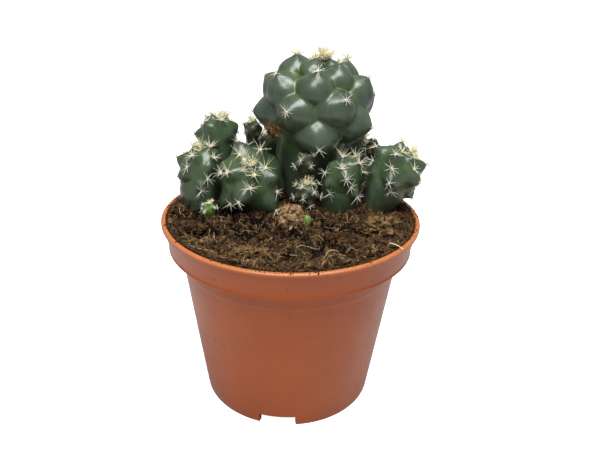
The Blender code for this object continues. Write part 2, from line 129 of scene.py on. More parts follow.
world = bpy.data.worlds.new("pale_room")
bpy.context.scene.world = world
world.use_nodes = True
room = world.node_tree.nodes["Background"]
room.inputs["Color"].default_value = (1.0, 1.0, 1.0, 1.0)
lens_share = world.node_tree.nodes.new("ShaderNodeMath")
lens_share.operation = "MULTIPLY_ADD"
lens_share.inputs[1].default_value = 0.75
lens_share.inputs[2].default_value = 0.35
room_seen = world.node_tree.nodes.new("ShaderNodeLightPath").outputs["Is Camera Ray"]
world.node_tree.links.new(room_seen, lens_share.inputs[0])
world.node_tree.links.new(lens_share.outputs[0], room.inputs["Strength"])
PLANT_MIDDLE = (0.0, 0.0, 0.10)
area_light("top_light", (0.12, -0.12, 0.80), PLANT_MIDDLE, 0.35, 4.8)
area_light("front_light", (-0.20, -0.46, 0.86), PLANT_MIDDLE, 0.35, 4.8)
bpy.context.scene.view_settings.view_transform = "Standard"

# %% [markdown]
# ## Tools for making surfaces
#
# Almost everything here is one of three things: a closed skin over a grid of points, a bunch
# of thin strands, or many copies of one small shape. Each tool works on whole arrays, so a
# surface of fifty thousand points takes no loop. Smooth noise gives the unevenness that
# living and crumbled things have, and it always comes out the same.

# %% Smooth noise
def cell_random(cells, seed):
    """A fixed number from 0 to 1 for each whole-number cell, made by mixing its coordinates."""
    whole = cells.astype(np.int64)
    mixed = (whole[..., 0] * 73856093) ^ (whole[..., 1] * 19349663) ^ (whole[..., 2] * 83492791)
    mixed = (mixed ^ (seed * 40503 + 977)) * 1274126177
    mixed = (mixed ^ (mixed >> 15)) * 2246822519
    return ((mixed ^ (mixed >> 13)) & 0xFFFFFF) / float(0xFFFFFF)


def smooth_noise(points, size, seed=0):
    """Values from -1 to 1: the random numbers at a cube's eight corners, blended by how near
    each corner is, with a weight that is level at both ends."""
    scaled = points / size
    low = np.floor(scaled)
    share = scaled - low
    blend = share * share * (3.0 - 2.0 * share)
    total = np.zeros(points.shape[:-1])
    for corner in np.ndindex(2, 2, 2):
        weight = np.prod(np.where(np.array(corner) == 1, blend, 1.0 - blend), axis=-1)
        total += weight * cell_random(low + corner, seed)
    return total * 2.0 - 1.0


def rough_noise(points, size, seed=0, layers=4):
    """Several layers of smooth noise, each half the size and half the strength of the last."""
    total = sum(smooth_noise(points, size / 2 ** k, seed + k) / 2 ** k for k in range(layers))
    return total / (2.0 - 2.0 / 2 ** layers)


print("noise at the origin:", round(float(rough_noise(np.zeros((1, 3)), 0.01)[0]), 3))


# %% Skins, strands and copies
def unit(vectors):
    """The same directions with a length of one."""
    return vectors / np.maximum(np.linalg.norm(vectors, axis=-1, keepdims=True), 1e-12)


def closed_skin(grid):
    """Points and faces of a closed skin over a grid of rows and columns. Its first and last
    rows are one point each, the poles, and its columns join up all the way round."""
    rows, columns = grid.shape[0] - 2, grid.shape[1]
    points = np.concatenate([grid[:1, 0], grid[1:-1].reshape(-1, 3), grid[-1:, 0]])
    here = 1 + np.arange(rows * columns).reshape(rows, columns)
    beside = np.roll(here, -1, axis=1)
    quads = np.stack([here[:-1], here[1:], beside[1:], beside[:-1]], axis=-1).reshape(-1, 4)
    top = np.stack([np.zeros(columns, int), here[0], beside[0]], axis=-1)
    last = np.full(columns, rows * columns + 1)
    bottom = np.stack([last, beside[-1], here[-1]], axis=-1)
    return points, [quads, top, bottom]


def on_skin(values):
    """A grid of values in the order of closed_skin's points."""
    return np.concatenate([values[0, :1], values[1:-1].ravel(), values[-1, :1]])


def ball_grid(rows, columns):
    """Unit directions over a ball: down runs from pole to pole and around runs full circle."""
    down, around = np.meshgrid(np.linspace(0.0, math.pi, rows),
                               np.arange(columns) * math.tau / columns, indexing="ij")
    return np.stack([np.sin(down) * np.cos(around), np.sin(down) * np.sin(around),
                     np.cos(down)], axis=-1)


def strands(paths, radii, sides):
    """Tapered tubes along many paths at once. Each path point gets a ring at right angles to
    the path there, of its own radius, and each tube ends in a point at both ends."""
    count, length = paths.shape[:2]
    tangent = unit(np.gradient(paths, axis=1))
    helper = np.where(np.abs(tangent.mean(1)[:, 2:3]) < 0.8, [[0.0, 0.0, 1.0]], [[1.0, 0.0, 0.0]])
    side = unit(np.cross(tangent, helper[:, None, :]))
    above = np.cross(tangent, side)
    around = np.arange(sides) * math.tau / sides
    ring = side[:, :, None] * np.cos(around)[:, None] + above[:, :, None] * np.sin(around)[:, None]
    rings = paths[:, :, None] + ring * radii[:, :, None, None]
    ends = np.stack([paths[:, 0] - tangent[:, 0] * radii[:, :1],
                     paths[:, -1] + tangent[:, -1] * radii[:, -1:]], axis=1)
    points = np.concatenate([rings.reshape(count, -1, 3), ends], axis=1)
    base = (np.arange(count) * points.shape[1])[:, None, None]
    here = np.arange(length * sides).reshape(length, sides)
    beside = np.roll(here, -1, axis=1)
    quads = np.stack([here[:-1], beside[:-1], beside[1:], here[1:]], axis=-1).reshape(-1, 4)
    first, last = np.full(sides, length * sides), np.full(sides, length * sides + 1)
    start = np.stack([first, beside[0], here[0]], axis=-1)
    finish = np.stack([last, here[-1], beside[-1]], axis=-1)
    faces = [(base + part[None]).reshape(-1, part.shape[1]) for part in (quads, start, finish)]
    return points.reshape(-1, 3), faces


def per_strand(values, length, sides):
    """One value for each strand, repeated for every point that strands() gives it."""
    return np.repeat(values, length * sides + 2)


def copies(shape, faces, turns, sizes, places):
    """Many turned, stretched and placed copies of one small shape, as one mesh."""
    made = np.einsum("nij,nkj->nki", turns, shape[None] * sizes[:, None, :]) + places[:, None, :]
    base = (np.arange(len(places)) * len(shape))[:, None, None]
    joined = [(base + part[None]).reshape(-1, part.shape[1]) for part in faces]
    return made.reshape(-1, 3), joined


def random_turns(dice, count):
    """Rotations in every direction alike, each from four random numbers as a quaternion."""
    w, x, y, z = unit(dice.normal(size=(count, 4))).T
    return np.array([
        [1 - 2 * (y * y + z * z), 2 * (x * y - w * z), 2 * (x * z + w * y)],
        [2 * (x * y + w * z), 1 - 2 * (x * x + z * z), 2 * (y * z - w * x)],
        [2 * (x * z - w * y), 2 * (y * z + w * x), 1 - 2 * (x * x + y * y)],
    ]).transpose(2, 0, 1)


# %% Put a surface into the scene
def mesh_object(name, points, faces, attributes=None):
    """A smooth-shaded mesh from points, lists of faces, and one value a point for each
    attribute."""
    mesh = bpy.data.meshes.new(name)
    sizes = np.concatenate([np.full(len(part), part.shape[1]) for part in faces])
    mesh.vertices.add(len(points))
    mesh.vertices.foreach_set("co", points.astype(np.float32).ravel())
    mesh.loops.add(int(sizes.sum()))
    mesh.polygons.add(len(sizes))
    mesh.polygons.foreach_set("loop_start", np.concatenate([[0], np.cumsum(sizes)[:-1]]))
    mesh.polygons.foreach_set("vertices", np.concatenate([part.ravel() for part in faces]))
    for key, values in (attributes or {}).items():
        mesh.attributes.new(key, "FLOAT", "POINT").data.foreach_set(
            "value", values.astype(np.float32))
    mesh.update(calc_edges=True)
    mesh.validate()
    mesh.shade_smooth()
    obj = bpy.data.objects.new(name, mesh)
    bpy.context.scene.collection.objects.link(obj)
    return obj


def settle(obj, look, stands_for=()):
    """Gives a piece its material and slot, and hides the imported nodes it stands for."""
    obj.data.materials.clear()
    obj.data.materials.append(look)
    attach(obj, "root")
    if stands_for:
        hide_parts(*stands_for)
    print(f"{obj.name}: {sum(len(p.vertices) - 2 for p in obj.data.polygons)} triangles")
    return obj

# %% [markdown]
# ## Finishes
#
# Skin, soil, dry matter and plastic all vary in the same three ways: their colour drifts
# from place to place, their surface has a fine grain, and dust settles on whatever faces up.
# Each of these is one node group with named inputs, built once and given its own values in
# every material. A group only works out colours and heights. The surface shader, which
# knows about gloss and light, stays in the material.

# %% Node helpers
def add_node(tree, kind, inputs=None, **settings):
    """Adds a node, and fills each named or numbered input with a value or another output."""
    made = tree.nodes.new(kind)
    for key, value in settings.items():
        setattr(made, key, value)
    for key, value in (inputs or {}).items():
        if isinstance(value, bpy.types.NodeSocket):
            tree.links.new(value, made.inputs[key])
        else:
            made.inputs[key].default_value = value
    return made


def arithmetic(tree, operation, first, second=0.0, clamp=False):
    """One sum on two values, held between 0 and 1 when clamped."""
    made = add_node(tree, "ShaderNodeMath", {0: first, 1: second}, operation=operation,
                    use_clamp=clamp)
    return made.outputs[0]


def ramp(tree, value, low, high, to_low=0.0, to_high=1.0):
    """Stretches a value from one range to another, and holds it at both ends."""
    made = add_node(tree, "ShaderNodeMapRange", {
        "Value": value, "From Min": low, "From Max": high, "To Min": to_low, "To Max": to_high})
    return made.outputs["Result"]


def mix_colour(tree, share, low, high):
    """A colour between two others. Sockets 6 and 7 are the colour pair of the Mix node."""
    made = add_node(tree, "ShaderNodeMix", {0: share, 6: low, 7: high}, data_type="RGBA")
    return made.outputs[2]


def attribute(tree, name):
    """The value that the surface carries under a name."""
    return add_node(tree, "ShaderNodeAttribute", attribute_name=name).outputs["Fac"]


def new_group(name, inputs, outputs):
    """An empty shader group with its named sockets: (name, socket type, starting value)."""
    group = bpy.data.node_groups.new(name, "ShaderNodeTree")
    for label, kind, start in inputs:
        socket = group.interface.new_socket(name=label, in_out="INPUT", socket_type=kind)
        socket.default_value = start
    for label, kind in outputs:
        group.interface.new_socket(name=label, in_out="OUTPUT", socket_type=kind)
    return group, group.nodes.new("NodeGroupInput"), group.nodes.new("NodeGroupOutput")


def use_group(tree, group, inputs):
    """Puts a group to work in a material, with that material's own inputs."""
    return add_node(tree, "ShaderNodeGroup", inputs, node_tree=group)


COLOUR, NUMBER = "NodeSocketColor", "NodeSocketFloat"


def rgb(red, green, blue):
    """An opaque colour from its three linear parts."""
    return (red, green, blue, 1.0)


# %% Group: mottle
def build_mottle():
    """Colour that drifts between two others in soft patches of about one size, in metres.
    Upright below one draws the patches out into upright streaks."""
    tree, given, out = new_group("mottle", [
        ("Low", COLOUR, rgb(0.2, 0.2, 0.2)), ("High", COLOUR, rgb(0.6, 0.6, 0.6)),
        ("Size", NUMBER, 0.005), ("Contrast", NUMBER, 2.0), ("Upright", NUMBER, 1.0)],
        [("Color", COLOUR), ("Value", NUMBER)])
    place = add_node(tree, "ShaderNodeTexCoord").outputs["Object"]
    drawn = add_node(tree, "ShaderNodeCombineXYZ", {0: 1.0, 1: 1.0, 2: given.outputs["Upright"]})
    where = add_node(tree, "ShaderNodeVectorMath", {0: place, 1: drawn.outputs[0]},
                     operation="MULTIPLY").outputs[0]
    scale = arithmetic(tree, "DIVIDE", 1.0, given.outputs["Size"])
    noise = add_node(tree, "ShaderNodeTexNoise", {"Vector": where, "Scale": scale,
                                                  "Detail": 5.0, "Roughness": 0.6})
    centred = arithmetic(tree, "SUBTRACT", noise.outputs["Fac"], 0.5)
    spread = arithmetic(tree, "MULTIPLY", centred, given.outputs["Contrast"])
    share = arithmetic(tree, "ADD", spread, 0.5, clamp=True)
    tree.links.new(share, out.inputs["Value"])
    tree.links.new(mix_colour(tree, share, given.outputs["Low"], given.outputs["High"]),
                   out.inputs["Color"])
    return tree


mottle = build_mottle()


# %% Group: grain
def build_grain():
    """A fine height field: soft noise with small cells pressed into it."""
    tree, given, out = new_group("grain", [
        ("Size", NUMBER, 0.0006), ("Cells", NUMBER, 0.3)], [("Height", NUMBER)])
    where = add_node(tree, "ShaderNodeTexCoord").outputs["Object"]
    scale = arithmetic(tree, "DIVIDE", 1.0, given.outputs["Size"])
    noise = add_node(tree, "ShaderNodeTexNoise", {"Vector": where, "Scale": scale,
                                                  "Detail": 4.0, "Roughness": 0.65})
    cells = add_node(tree, "ShaderNodeTexVoronoi", {"Vector": where, "Scale": scale})
    pits = arithmetic(tree, "MULTIPLY", cells.outputs["Distance"], given.outputs["Cells"])
    tree.links.new(arithmetic(tree, "ADD", noise.outputs["Fac"], pits), out.inputs["Height"])
    return tree


grain = build_grain()


# %% Group: settled dust
def build_dust():
    """Dust in small broken patches, thickest where the surface faces up."""
    tree, given, out = new_group("settled_dust", [
        ("Color", COLOUR, rgb(0.5, 0.5, 0.5)), ("Dust", COLOUR, rgb(0.15, 0.10, 0.06)),
        ("Amount", NUMBER, 0.3), ("Size", NUMBER, 0.0012)],
        [("Color", COLOUR), ("Mask", NUMBER)])
    where = add_node(tree, "ShaderNodeTexCoord").outputs["Object"]
    facing = add_node(tree, "ShaderNodeNewGeometry").outputs["Normal"]
    upward = add_node(tree, "ShaderNodeSeparateXYZ", {0: facing}).outputs["Z"]
    scale = arithmetic(tree, "DIVIDE", 1.0, given.outputs["Size"])
    noise = add_node(tree, "ShaderNodeTexNoise", {"Vector": where, "Scale": scale,
                                                  "Detail": 6.0, "Roughness": 0.7})
    patches = ramp(tree, noise.outputs["Fac"], 0.50, 0.68)
    level = ramp(tree, upward, -0.2, 1.0, 0.15, 1.0)
    mask = arithmetic(tree, "MULTIPLY", arithmetic(tree, "MULTIPLY", patches, level),
                      given.outputs["Amount"], clamp=True)
    tree.links.new(mask, out.inputs["Mask"])
    tree.links.new(mix_colour(tree, mask, given.outputs["Color"], given.outputs["Dust"]),
                   out.inputs["Color"])
    return tree


dust = build_dust()
print("groups:", [g.name for g in bpy.data.node_groups])


# %% A material's frame
def new_look(name, **sockets):
    """A material and its surface shader, with the shader's own even values set."""
    look = bpy.data.materials.new(name)
    look.use_nodes = True
    shader = look.node_tree.nodes["Principled BSDF"]
    for key, value in sockets.items():
        shader.inputs[key.replace("_", " ")].default_value = value
    return look, look.node_tree, shader


def roughen(tree, shader, height, depth, strength=1.0):
    """Feeds a height, in shares of a depth in metres, to the surface as a bump."""
    bump = add_node(tree, "ShaderNodeBump", {"Height": height, "Distance": depth,
                                             "Strength": strength})
    tree.links.new(bump.outputs["Normal"], shader.inputs["Normal"])


# %% [markdown]
# ## The skin of the heads
#
# The skin is a dull blue-green with a waxy sheen. It is palest and greyest on the tips of the
# tubercles, bright yellow-green in the furrows where light never dries it, and brown and
# corky on the oldest parts low on a head. The shape functions below leave those three
# measures on every point as attributes, so the colours follow the plant's own form.

# %% Material: cactus skin
def skin_look(name, flesh, pale, furrow, cork, roughness):
    """Flesh drifts to a paler tone, then the furrows, the tips and the corky parts are laid
    over it in turn, and dust settles last."""
    look, tree, shader = new_look(name, Coat_Weight=0.25, Coat_Roughness=0.22,
                                  Subsurface_Weight=0.06, Subsurface_Scale=0.002)
    body = use_group(tree, mottle, {"Low": flesh, "High": pale, "Size": 0.006,
                                    "Contrast": 2.2}).outputs["Color"]
    freckle = use_group(tree, mottle, {"Low": rgb(0, 0, 0), "High": rgb(1, 1, 1),
                                       "Size": 0.0007, "Contrast": 3.0}).outputs["Value"]
    body = mix_colour(tree, arithmetic(tree, "MULTIPLY", freckle, 0.18), body, pale)
    streak = use_group(tree, mottle, {"Low": rgb(0, 0, 0), "High": rgb(1, 1, 1), "Size": 0.0011,
                                      "Contrast": 3.5, "Upright": 0.12}).outputs["Value"]
    body = mix_colour(tree, arithmetic(tree, "MULTIPLY", streak, 0.30), body, pale)
    in_furrow = ramp(tree, attribute(tree, "furrow"), 0.15, 0.95, 0.0, 0.9)
    body = mix_colour(tree, in_furrow, body, furrow)
    at_tip = ramp(tree, attribute(tree, "tip"), 0.1, 1.0, 0.0, 0.35)
    body = mix_colour(tree, at_tip, body, pale)
    patchy = arithmetic(tree, "MULTIPLY", arithmetic(tree, "SUBTRACT", freckle, 0.5), 0.5)
    aged = arithmetic(tree, "ADD", attribute(tree, "age"), patchy)
    body = mix_colour(tree, ramp(tree, aged, 0.45, 1.0, 0.0, 0.9), body, cork)
    dusty = use_group(tree, dust, {"Color": body, "Dust": rgb(0.23, 0.19, 0.13),
                                   "Amount": 0.30, "Size": 0.0010})
    tree.links.new(dusty.outputs["Color"], shader.inputs["Base Color"])
    tree.links.new(ramp(tree, aged, 0.3, 1.0, roughness, 0.85), shader.inputs["Roughness"])
    fine = use_group(tree, grain, {"Size": 0.00045, "Cells": 0.5}).outputs["Height"]
    roughen(tree, shader, fine, 0.00006, 0.6)
    return look


green_skin = skin_look("green_skin", rgb(0.014, 0.036, 0.018), rgb(0.070, 0.102, 0.064),
                       rgb(0.080, 0.140, 0.028), rgb(0.120, 0.115, 0.085), 0.29)
offset_skin = skin_look("offset_skin", rgb(0.010, 0.034, 0.011), rgb(0.062, 0.096, 0.054),
                        rgb(0.055, 0.115, 0.022), rgb(0.100, 0.095, 0.060), 0.32)
young_skin = skin_look("young_skin", rgb(0.060, 0.160, 0.025), rgb(0.150, 0.270, 0.060),
                       rgb(0.130, 0.260, 0.040), rgb(0.110, 0.150, 0.050), 0.45)
old_skin = skin_look("old_skin", rgb(0.020, 0.036, 0.014), rgb(0.085, 0.098, 0.050),
                     rgb(0.022, 0.030, 0.012), rgb(0.075, 0.055, 0.032), 0.55)


# %% Material: spines and wool
def spine_look(name, young, old, tip):
    """Each spine has its own age, and darkens a little at its tip."""
    look, tree, shader = new_look(name, Roughness=0.45)
    colour = mix_colour(tree, attribute(tree, "age"), young, old)
    end = ramp(tree, attribute(tree, "along"), 0.75, 1.0, 0.0, 0.6)
    drift = use_group(tree, mottle, {"Low": rgb(0.55, 0.55, 0.55), "High": rgb(1, 1, 1),
                                     "Size": 0.002, "Contrast": 2.0}).outputs["Color"]
    toned = add_node(tree, "ShaderNodeMix", {0: 0.4, 6: mix_colour(tree, end, colour, tip),
                                             7: drift}, data_type="RGBA",
                     blend_type="MULTIPLY").outputs[2]
    tree.links.new(toned, shader.inputs["Base Color"])
    return look


spine_finish = spine_look("cream_spine", rgb(0.93, 0.86, 0.52), rgb(0.86, 0.82, 0.73),
                          rgb(0.50, 0.34, 0.17))
wool_finish = spine_look("areole_wool", rgb(0.86, 0.80, 0.56), rgb(0.74, 0.70, 0.60),
                         rgb(0.80, 0.75, 0.60))
print("materials:", len(bpy.data.materials))


# %% Material: soil, crumbs and dry matter
def crumb_look(name, deep, middle, light, roughness=0.95, bump=0.00025, size=0.0012):
    """Painted shade and painted light: the 'lift' attribute takes the colour to deep, the painted
    shade colour, in the hollows, where it also stands for damper peat, and to the paler tones on
    the tops. Each crumb has its own tint, and a patchy drift of colour lies over all."""
    look, tree, shader = new_look(name, Roughness=roughness, Specular_IOR_Level=0.15)
    drift = use_group(tree, mottle, {"Low": middle, "High": light, "Size": size,
                                     "Contrast": 4.0})
    tinted = mix_colour(tree, arithmetic(tree, "MULTIPLY", attribute(tree, "tint"), 0.8),
                        drift.outputs["Color"], light)
    # Painted shade: a low 'lift' gives the deep shade colour, and a high 'lift' paints the tops
    # paler.
    shade = ramp(tree, attribute(tree, "lift"), 0.1, 0.85)
    tree.links.new(mix_colour(tree, shade, deep, tinted), shader.inputs["Base Color"])
    fine = use_group(tree, grain, {"Size": size * 0.4, "Cells": 0.8}).outputs["Height"]
    roughen(tree, shader, fine, bump)
    return look


peat_finish = crumb_look("peat", rgb(0.003, 0.002, 0.001), rgb(0.014, 0.007, 0.004),
                         rgb(0.120, 0.064, 0.026))
moss_finish = crumb_look("dried_moss", rgb(0.006, 0.003, 0.002), rgb(0.036, 0.019, 0.008),
                         rgb(0.290, 0.175, 0.074))
litter_finish = crumb_look("dark_litter", rgb(0.007, 0.004, 0.002), rgb(0.027, 0.014, 0.008),
                           rgb(0.085, 0.046, 0.024), 0.80)
cork_finish = crumb_look("corky_skin", rgb(0.014, 0.016, 0.009), rgb(0.048, 0.050, 0.030),
                         rgb(0.140, 0.130, 0.080), 0.8, 0.0002, 0.0010)
tan_finish = crumb_look("dry_tan", rgb(0.060, 0.028, 0.011), rgb(0.230, 0.125, 0.052),
                        rgb(0.560, 0.370, 0.190), 0.9, 0.0002, 0.0008)
fibre_finish = crumb_look("root_fibre", rgb(0.040, 0.022, 0.010), rgb(0.100, 0.055, 0.022),
                          rgb(0.330, 0.220, 0.105), 0.8, 0.00005, 0.0010)
straw_finish = crumb_look("pale_straw", rgb(0.300, 0.190, 0.090), rgb(0.550, 0.420, 0.240),
                          rgb(0.780, 0.680, 0.480), 0.6, 0.00005, 0.0010)
perlite_finish = crumb_look("perlite", rgb(0.300, 0.260, 0.210), rgb(0.700, 0.660, 0.600),
                            rgb(0.880, 0.860, 0.820), 0.9, 0.0002, 0.0006)


# %% Material: moulded plastic
def plastic_look():
    """Clay-coloured plastic: an even colour with a slow drift, a fine moulded grain, a few
    dark specks in it, soil dust where it faces up, and a painted highlight along the top of the
    lip."""
    look, tree, shader = new_look("clay_plastic", Specular_IOR_Level=0.4, Coat_Weight=0.12,
                                  Coat_Roughness=0.3)
    base = use_group(tree, mottle, {
        "Low": rgb(0.330, 0.060, 0.003), "High": rgb(0.395, 0.077, 0.005), "Size": 0.022,
        "Contrast": 1.8}).outputs["Color"]
    specks = use_group(tree, mottle, {"Low": rgb(0, 0, 0), "High": rgb(1, 1, 1),
                                      "Size": 0.0035, "Contrast": 1.0}).outputs["Value"]
    base = mix_colour(tree, ramp(tree, specks, 0.670, 0.680, 0.0, 0.7), base,
                      rgb(0.10, 0.03, 0.02))
    scuffs = use_group(tree, mottle, {"Low": rgb(0, 0, 0), "High": rgb(1, 1, 1),
                                      "Size": 0.0009, "Contrast": 1.0}).outputs["Value"]
    base = mix_colour(tree, ramp(tree, scuffs, 0.66, 0.72, 0.0, 0.35), base, rgb(0.55, 0.26, 0.13))
    # Painted highlight: the 'edge' attribute paints the top of the lip a paler, brighter orange.
    base = mix_colour(tree, ramp(tree, attribute(tree, "edge"), 0.0, 1.0, 0.0, 0.55), base,
                      rgb(0.62, 0.24, 0.09))
    dusty = use_group(tree, dust, {"Color": base, "Dust": rgb(0.10, 0.055, 0.028),
                                   "Amount": 0.55, "Size": 0.0014})
    tree.links.new(dusty.outputs["Color"], shader.inputs["Base Color"])
    rough = use_group(tree, mottle, {"Low": rgb(0, 0, 0), "High": rgb(1, 1, 1), "Size": 0.006,
                                     "Contrast": 1.5}).outputs["Value"]
    worn = arithmetic(tree, "ADD", ramp(tree, rough, 0.0, 1.0, 0.30, 0.42),
                      arithmetic(tree, "MULTIPLY", dusty.outputs["Mask"], 0.4), clamp=True)
    tree.links.new(worn, shader.inputs["Roughness"])
    fine = use_group(tree, grain, {"Size": 0.0004, "Cells": 0.2}).outputs["Height"]
    roughen(tree, shader, fine, 0.00003, 0.5)
    return look


plastic = plastic_look()

# %% [markdown]
# ## The pot
#
# A nursery pot is one thin moulding: a tapered wall on a foot ring, a shoulder where pots
# rest in each other when stacked, a wide band above it, and a rolled lip. A profile carried
# round the axis gives all of that. The three drainage notches are part of the same formula:
# where a column of the grid falls in a notch, the foot's lowest points sit higher. The round
# holes through the floor are the one thing cut afterwards.

# %% The pot's sizes
POT_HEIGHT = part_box("pot")[1].z
LIP_RADIUS = -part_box("pot")[0].x
LIP_WIDTH, LIP_HEIGHT, LIP_OVERHANG = 0.0022, 0.0020, 0.0012
BAND_HEIGHT, BAND_DRAFT, SHOULDER_STEP = 0.0139, 0.0023, 0.0047
FOOT_RADIUS, WALL, FLOOR_THICKNESS, FOOT_RECESS = 0.0414, 0.0013, 0.0016, 0.0052
NOTCH_HEIGHT, NOTCH_WIDTH, NOTCH_COUNT, FIRST_NOTCH = 0.0049, 0.0172, 3, math.radians(-96.0)
DRAIN_RADIUS, DRAIN_COUNT, DRAIN_CIRCLE = 0.0040, 6, 0.0260
SHOULDER_Z = POT_HEIGHT - BAND_HEIGHT
LIP_INNER = LIP_RADIUS - LIP_WIDTH
BAND_TOP = LIP_RADIUS - LIP_OVERHANG
BAND_FOOT = BAND_TOP - BAND_DRAFT
WALL_TOP = BAND_FOOT - SHOULDER_STEP
FLOOR_TOP = FOOT_RECESS + FLOOR_THICKNESS
SOIL_EDGE = LIP_INNER - 0.0005
STACK_RING_DROP, STACK_RING_STEP = 0.0088, 0.00025
print("pot height and lip radius:", round(POT_HEIGHT, 4), round(LIP_RADIUS, 4))


def wall_radius(z):
    """Outer radius of the tapered wall, which swells by a hair above the stacking ring."""
    swell = STACK_RING_STEP * np.clip((z - SHOULDER_Z + STACK_RING_DROP) / 0.0016, 0.0, 1.0)
    return FOOT_RADIUS + (WALL_TOP - FOOT_RADIUS) * z / SHOULDER_Z + swell


# %% The pot's profile
def eased(corners, steps=4):
    """Rounds each corner of a profile: (radius, height, size of the rounding). Each corner
    becomes a short curve that starts and ends that far from it, pulled towards the corner."""
    spots = np.array([c[:2] for c in corners])
    share = np.linspace(0.0, 1.0, steps)[:, None]
    points = [spots[:1]]
    for before, corner, after, (_, _, size) in zip(spots, spots[1:], spots[2:], corners[1:]):
        start = corner + unit(before - corner) * min(size, np.linalg.norm(before - corner) / 2.2)
        end = corner + unit(after - corner) * min(size, np.linalg.norm(after - corner) / 2.2)
        points.append(start * (1 - share) ** 2 + corner * 2 * share * (1 - share)
                      + end * share ** 2)
    return np.concatenate(points + [spots[-1:]])


def pot_profile(foot):
    """From the middle of the floor, up the inside, over the lip, down the outside to the
    foot, whose underside is at the given height, and back to the middle underneath."""
    under_lip = POT_HEIGHT - LIP_HEIGHT
    ring = SHOULDER_Z - STACK_RING_DROP
    return eased([
        (0.0, FLOOR_TOP, 0.0),
        (wall_radius(FLOOR_TOP) - WALL, FLOOR_TOP, 0.001),
        (wall_radius(SHOULDER_Z) - WALL, SHOULDER_Z + WALL, 0.0006),
        (BAND_FOOT - WALL, SHOULDER_Z + WALL, 0.0006),
        (LIP_INNER - 0.0002, POT_HEIGHT - 0.0008, 0.0003),
        (LIP_INNER + 0.0004, POT_HEIGHT, 0.0003),
        (LIP_RADIUS - 0.0007, POT_HEIGHT, 0.0004),
        (LIP_RADIUS, POT_HEIGHT - 0.0006, 0.0003),
        (LIP_RADIUS - 0.0001, under_lip, 0.0004),
        (BAND_TOP - 0.0001, under_lip - 0.0002, 0.0003),
        (BAND_FOOT + 0.0002, SHOULDER_Z + 0.0014, 0.0003),
        (BAND_FOOT + 0.0006, SHOULDER_Z + 0.0004, 0.0003),
        (BAND_FOOT - 0.0002, SHOULDER_Z - 0.0001, 0.0002),
        (WALL_TOP + STACK_RING_STEP, SHOULDER_Z, 0.0005),
        (wall_radius(ring + 0.0016), ring + 0.0016, 0.0006),
        (wall_radius(ring), ring, 0.0006),
        (wall_radius(foot + 0.004), foot + 0.004, 0.001),
        (wall_radius(foot), foot, 0.0005),
        (FOOT_RADIUS - 2.0 * WALL, foot, 0.0004),
        (FOOT_RADIUS - 2.0 * WALL, FOOT_RECESS, 0.0001),
        (0.0, FOOT_RECESS, 0.0),
    ])


def pot_columns(count, half, edge=0.0015):
    """Angles round the pot: even ones, and a close pair on each side wall of a notch."""
    middles = FIRST_NOTCH + math.tau * np.arange(NOTCH_COUNT) / NOTCH_COUNT
    even = np.arange(count) * math.tau / count
    near = np.abs((even[:, None] - middles + math.pi) % math.tau - math.pi)
    even = even[np.abs(near - half).min(1) > 0.01]
    sides = (middles[:, None] + np.array([-half - edge, -half, half, half + edge])).ravel()
    return np.sort(np.concatenate([even, sides % math.tau])), middles


NOTCH_HALF = NOTCH_WIDTH / 2.0 / FOOT_RADIUS
angles, notch_middles = pot_columns(264, NOTCH_HALF)
off_notch = np.abs((angles[:, None] - notch_middles + math.pi) % math.tau - math.pi).min(1)
in_notch = off_notch < NOTCH_HALF + 0.0001
profile = np.where(in_notch[None, :, None], pot_profile(NOTCH_HEIGHT)[:, None],
                   pot_profile(0.0)[:, None])
print("profile rows and columns:", profile.shape[:2])


# %% The pot's surface
def drain_cutter(index):
    """A short round bar through the floor."""
    work = bmesh.new()
    bmesh.ops.create_cone(work, cap_ends=True, segments=32, radius1=DRAIN_RADIUS,
                          radius2=DRAIN_RADIUS, depth=FLOOR_THICKNESS * 3.0)
    angle = math.tau * (index + 0.5) / DRAIN_COUNT
    middle = FOOT_RECESS + FLOOR_THICKNESS / 2
    bmesh.ops.translate(work, verts=work.verts, vec=(
        DRAIN_CIRCLE * math.cos(angle), DRAIN_CIRCLE * math.sin(angle), middle))
    mesh = bpy.data.meshes.new("drain")
    work.to_mesh(mesh)
    work.free()
    bar = bpy.data.objects.new("drain", mesh)
    bpy.context.scene.collection.objects.link(bar)
    return bar


def cut_away(obj, cutters):
    """Cuts the bars out of a mesh for good, and clears the bars away."""
    for bar in cutters:
        change = obj.modifiers.new(bar.name, "BOOLEAN")
        change.object, change.operation, change.solver = bar, "DIFFERENCE", "EXACT"
    bpy.context.view_layer.update()
    seen = obj.evaluated_get(bpy.context.evaluated_depsgraph_get())
    mesh = bpy.data.meshes.new_from_object(seen)
    obj.modifiers.clear()
    obj.data = mesh
    for bar in cutters:
        bpy.data.objects.remove(bar)


radius, height = profile[..., 0], profile[..., 1]
upper = np.clip((height - SHOULDER_Z) / BAND_HEIGHT, 0.0, 1.0)
radius = radius + upper ** 2 * 0.00022 * np.sin(3.0 * angles + 0.8) * (radius > LIP_INNER - 0.003)
height = height + upper ** 6 * 0.00016 * np.sin(2.0 * angles + 2.0)
grid = np.stack([radius * np.cos(angles), radius * np.sin(angles), height], axis=-1)
# The mask for the painted highlight along the top of the lip.
edge = np.clip((height - POT_HEIGHT + 0.0016) / 0.0010, 0.0, 1.0) * (radius > LIP_INNER)
points, faces = closed_skin(grid)
pot = mesh_object("nursery_pot", points, faces, {"edge": on_skin(edge)})
cut_away(pot, [drain_cutter(i) for i in range(DRAIN_COUNT)])
pot.data.shade_smooth()
pot.data.set_sharp_from_angle(angle=math.radians(40.0))
settle(pot, plastic, ["pot"])

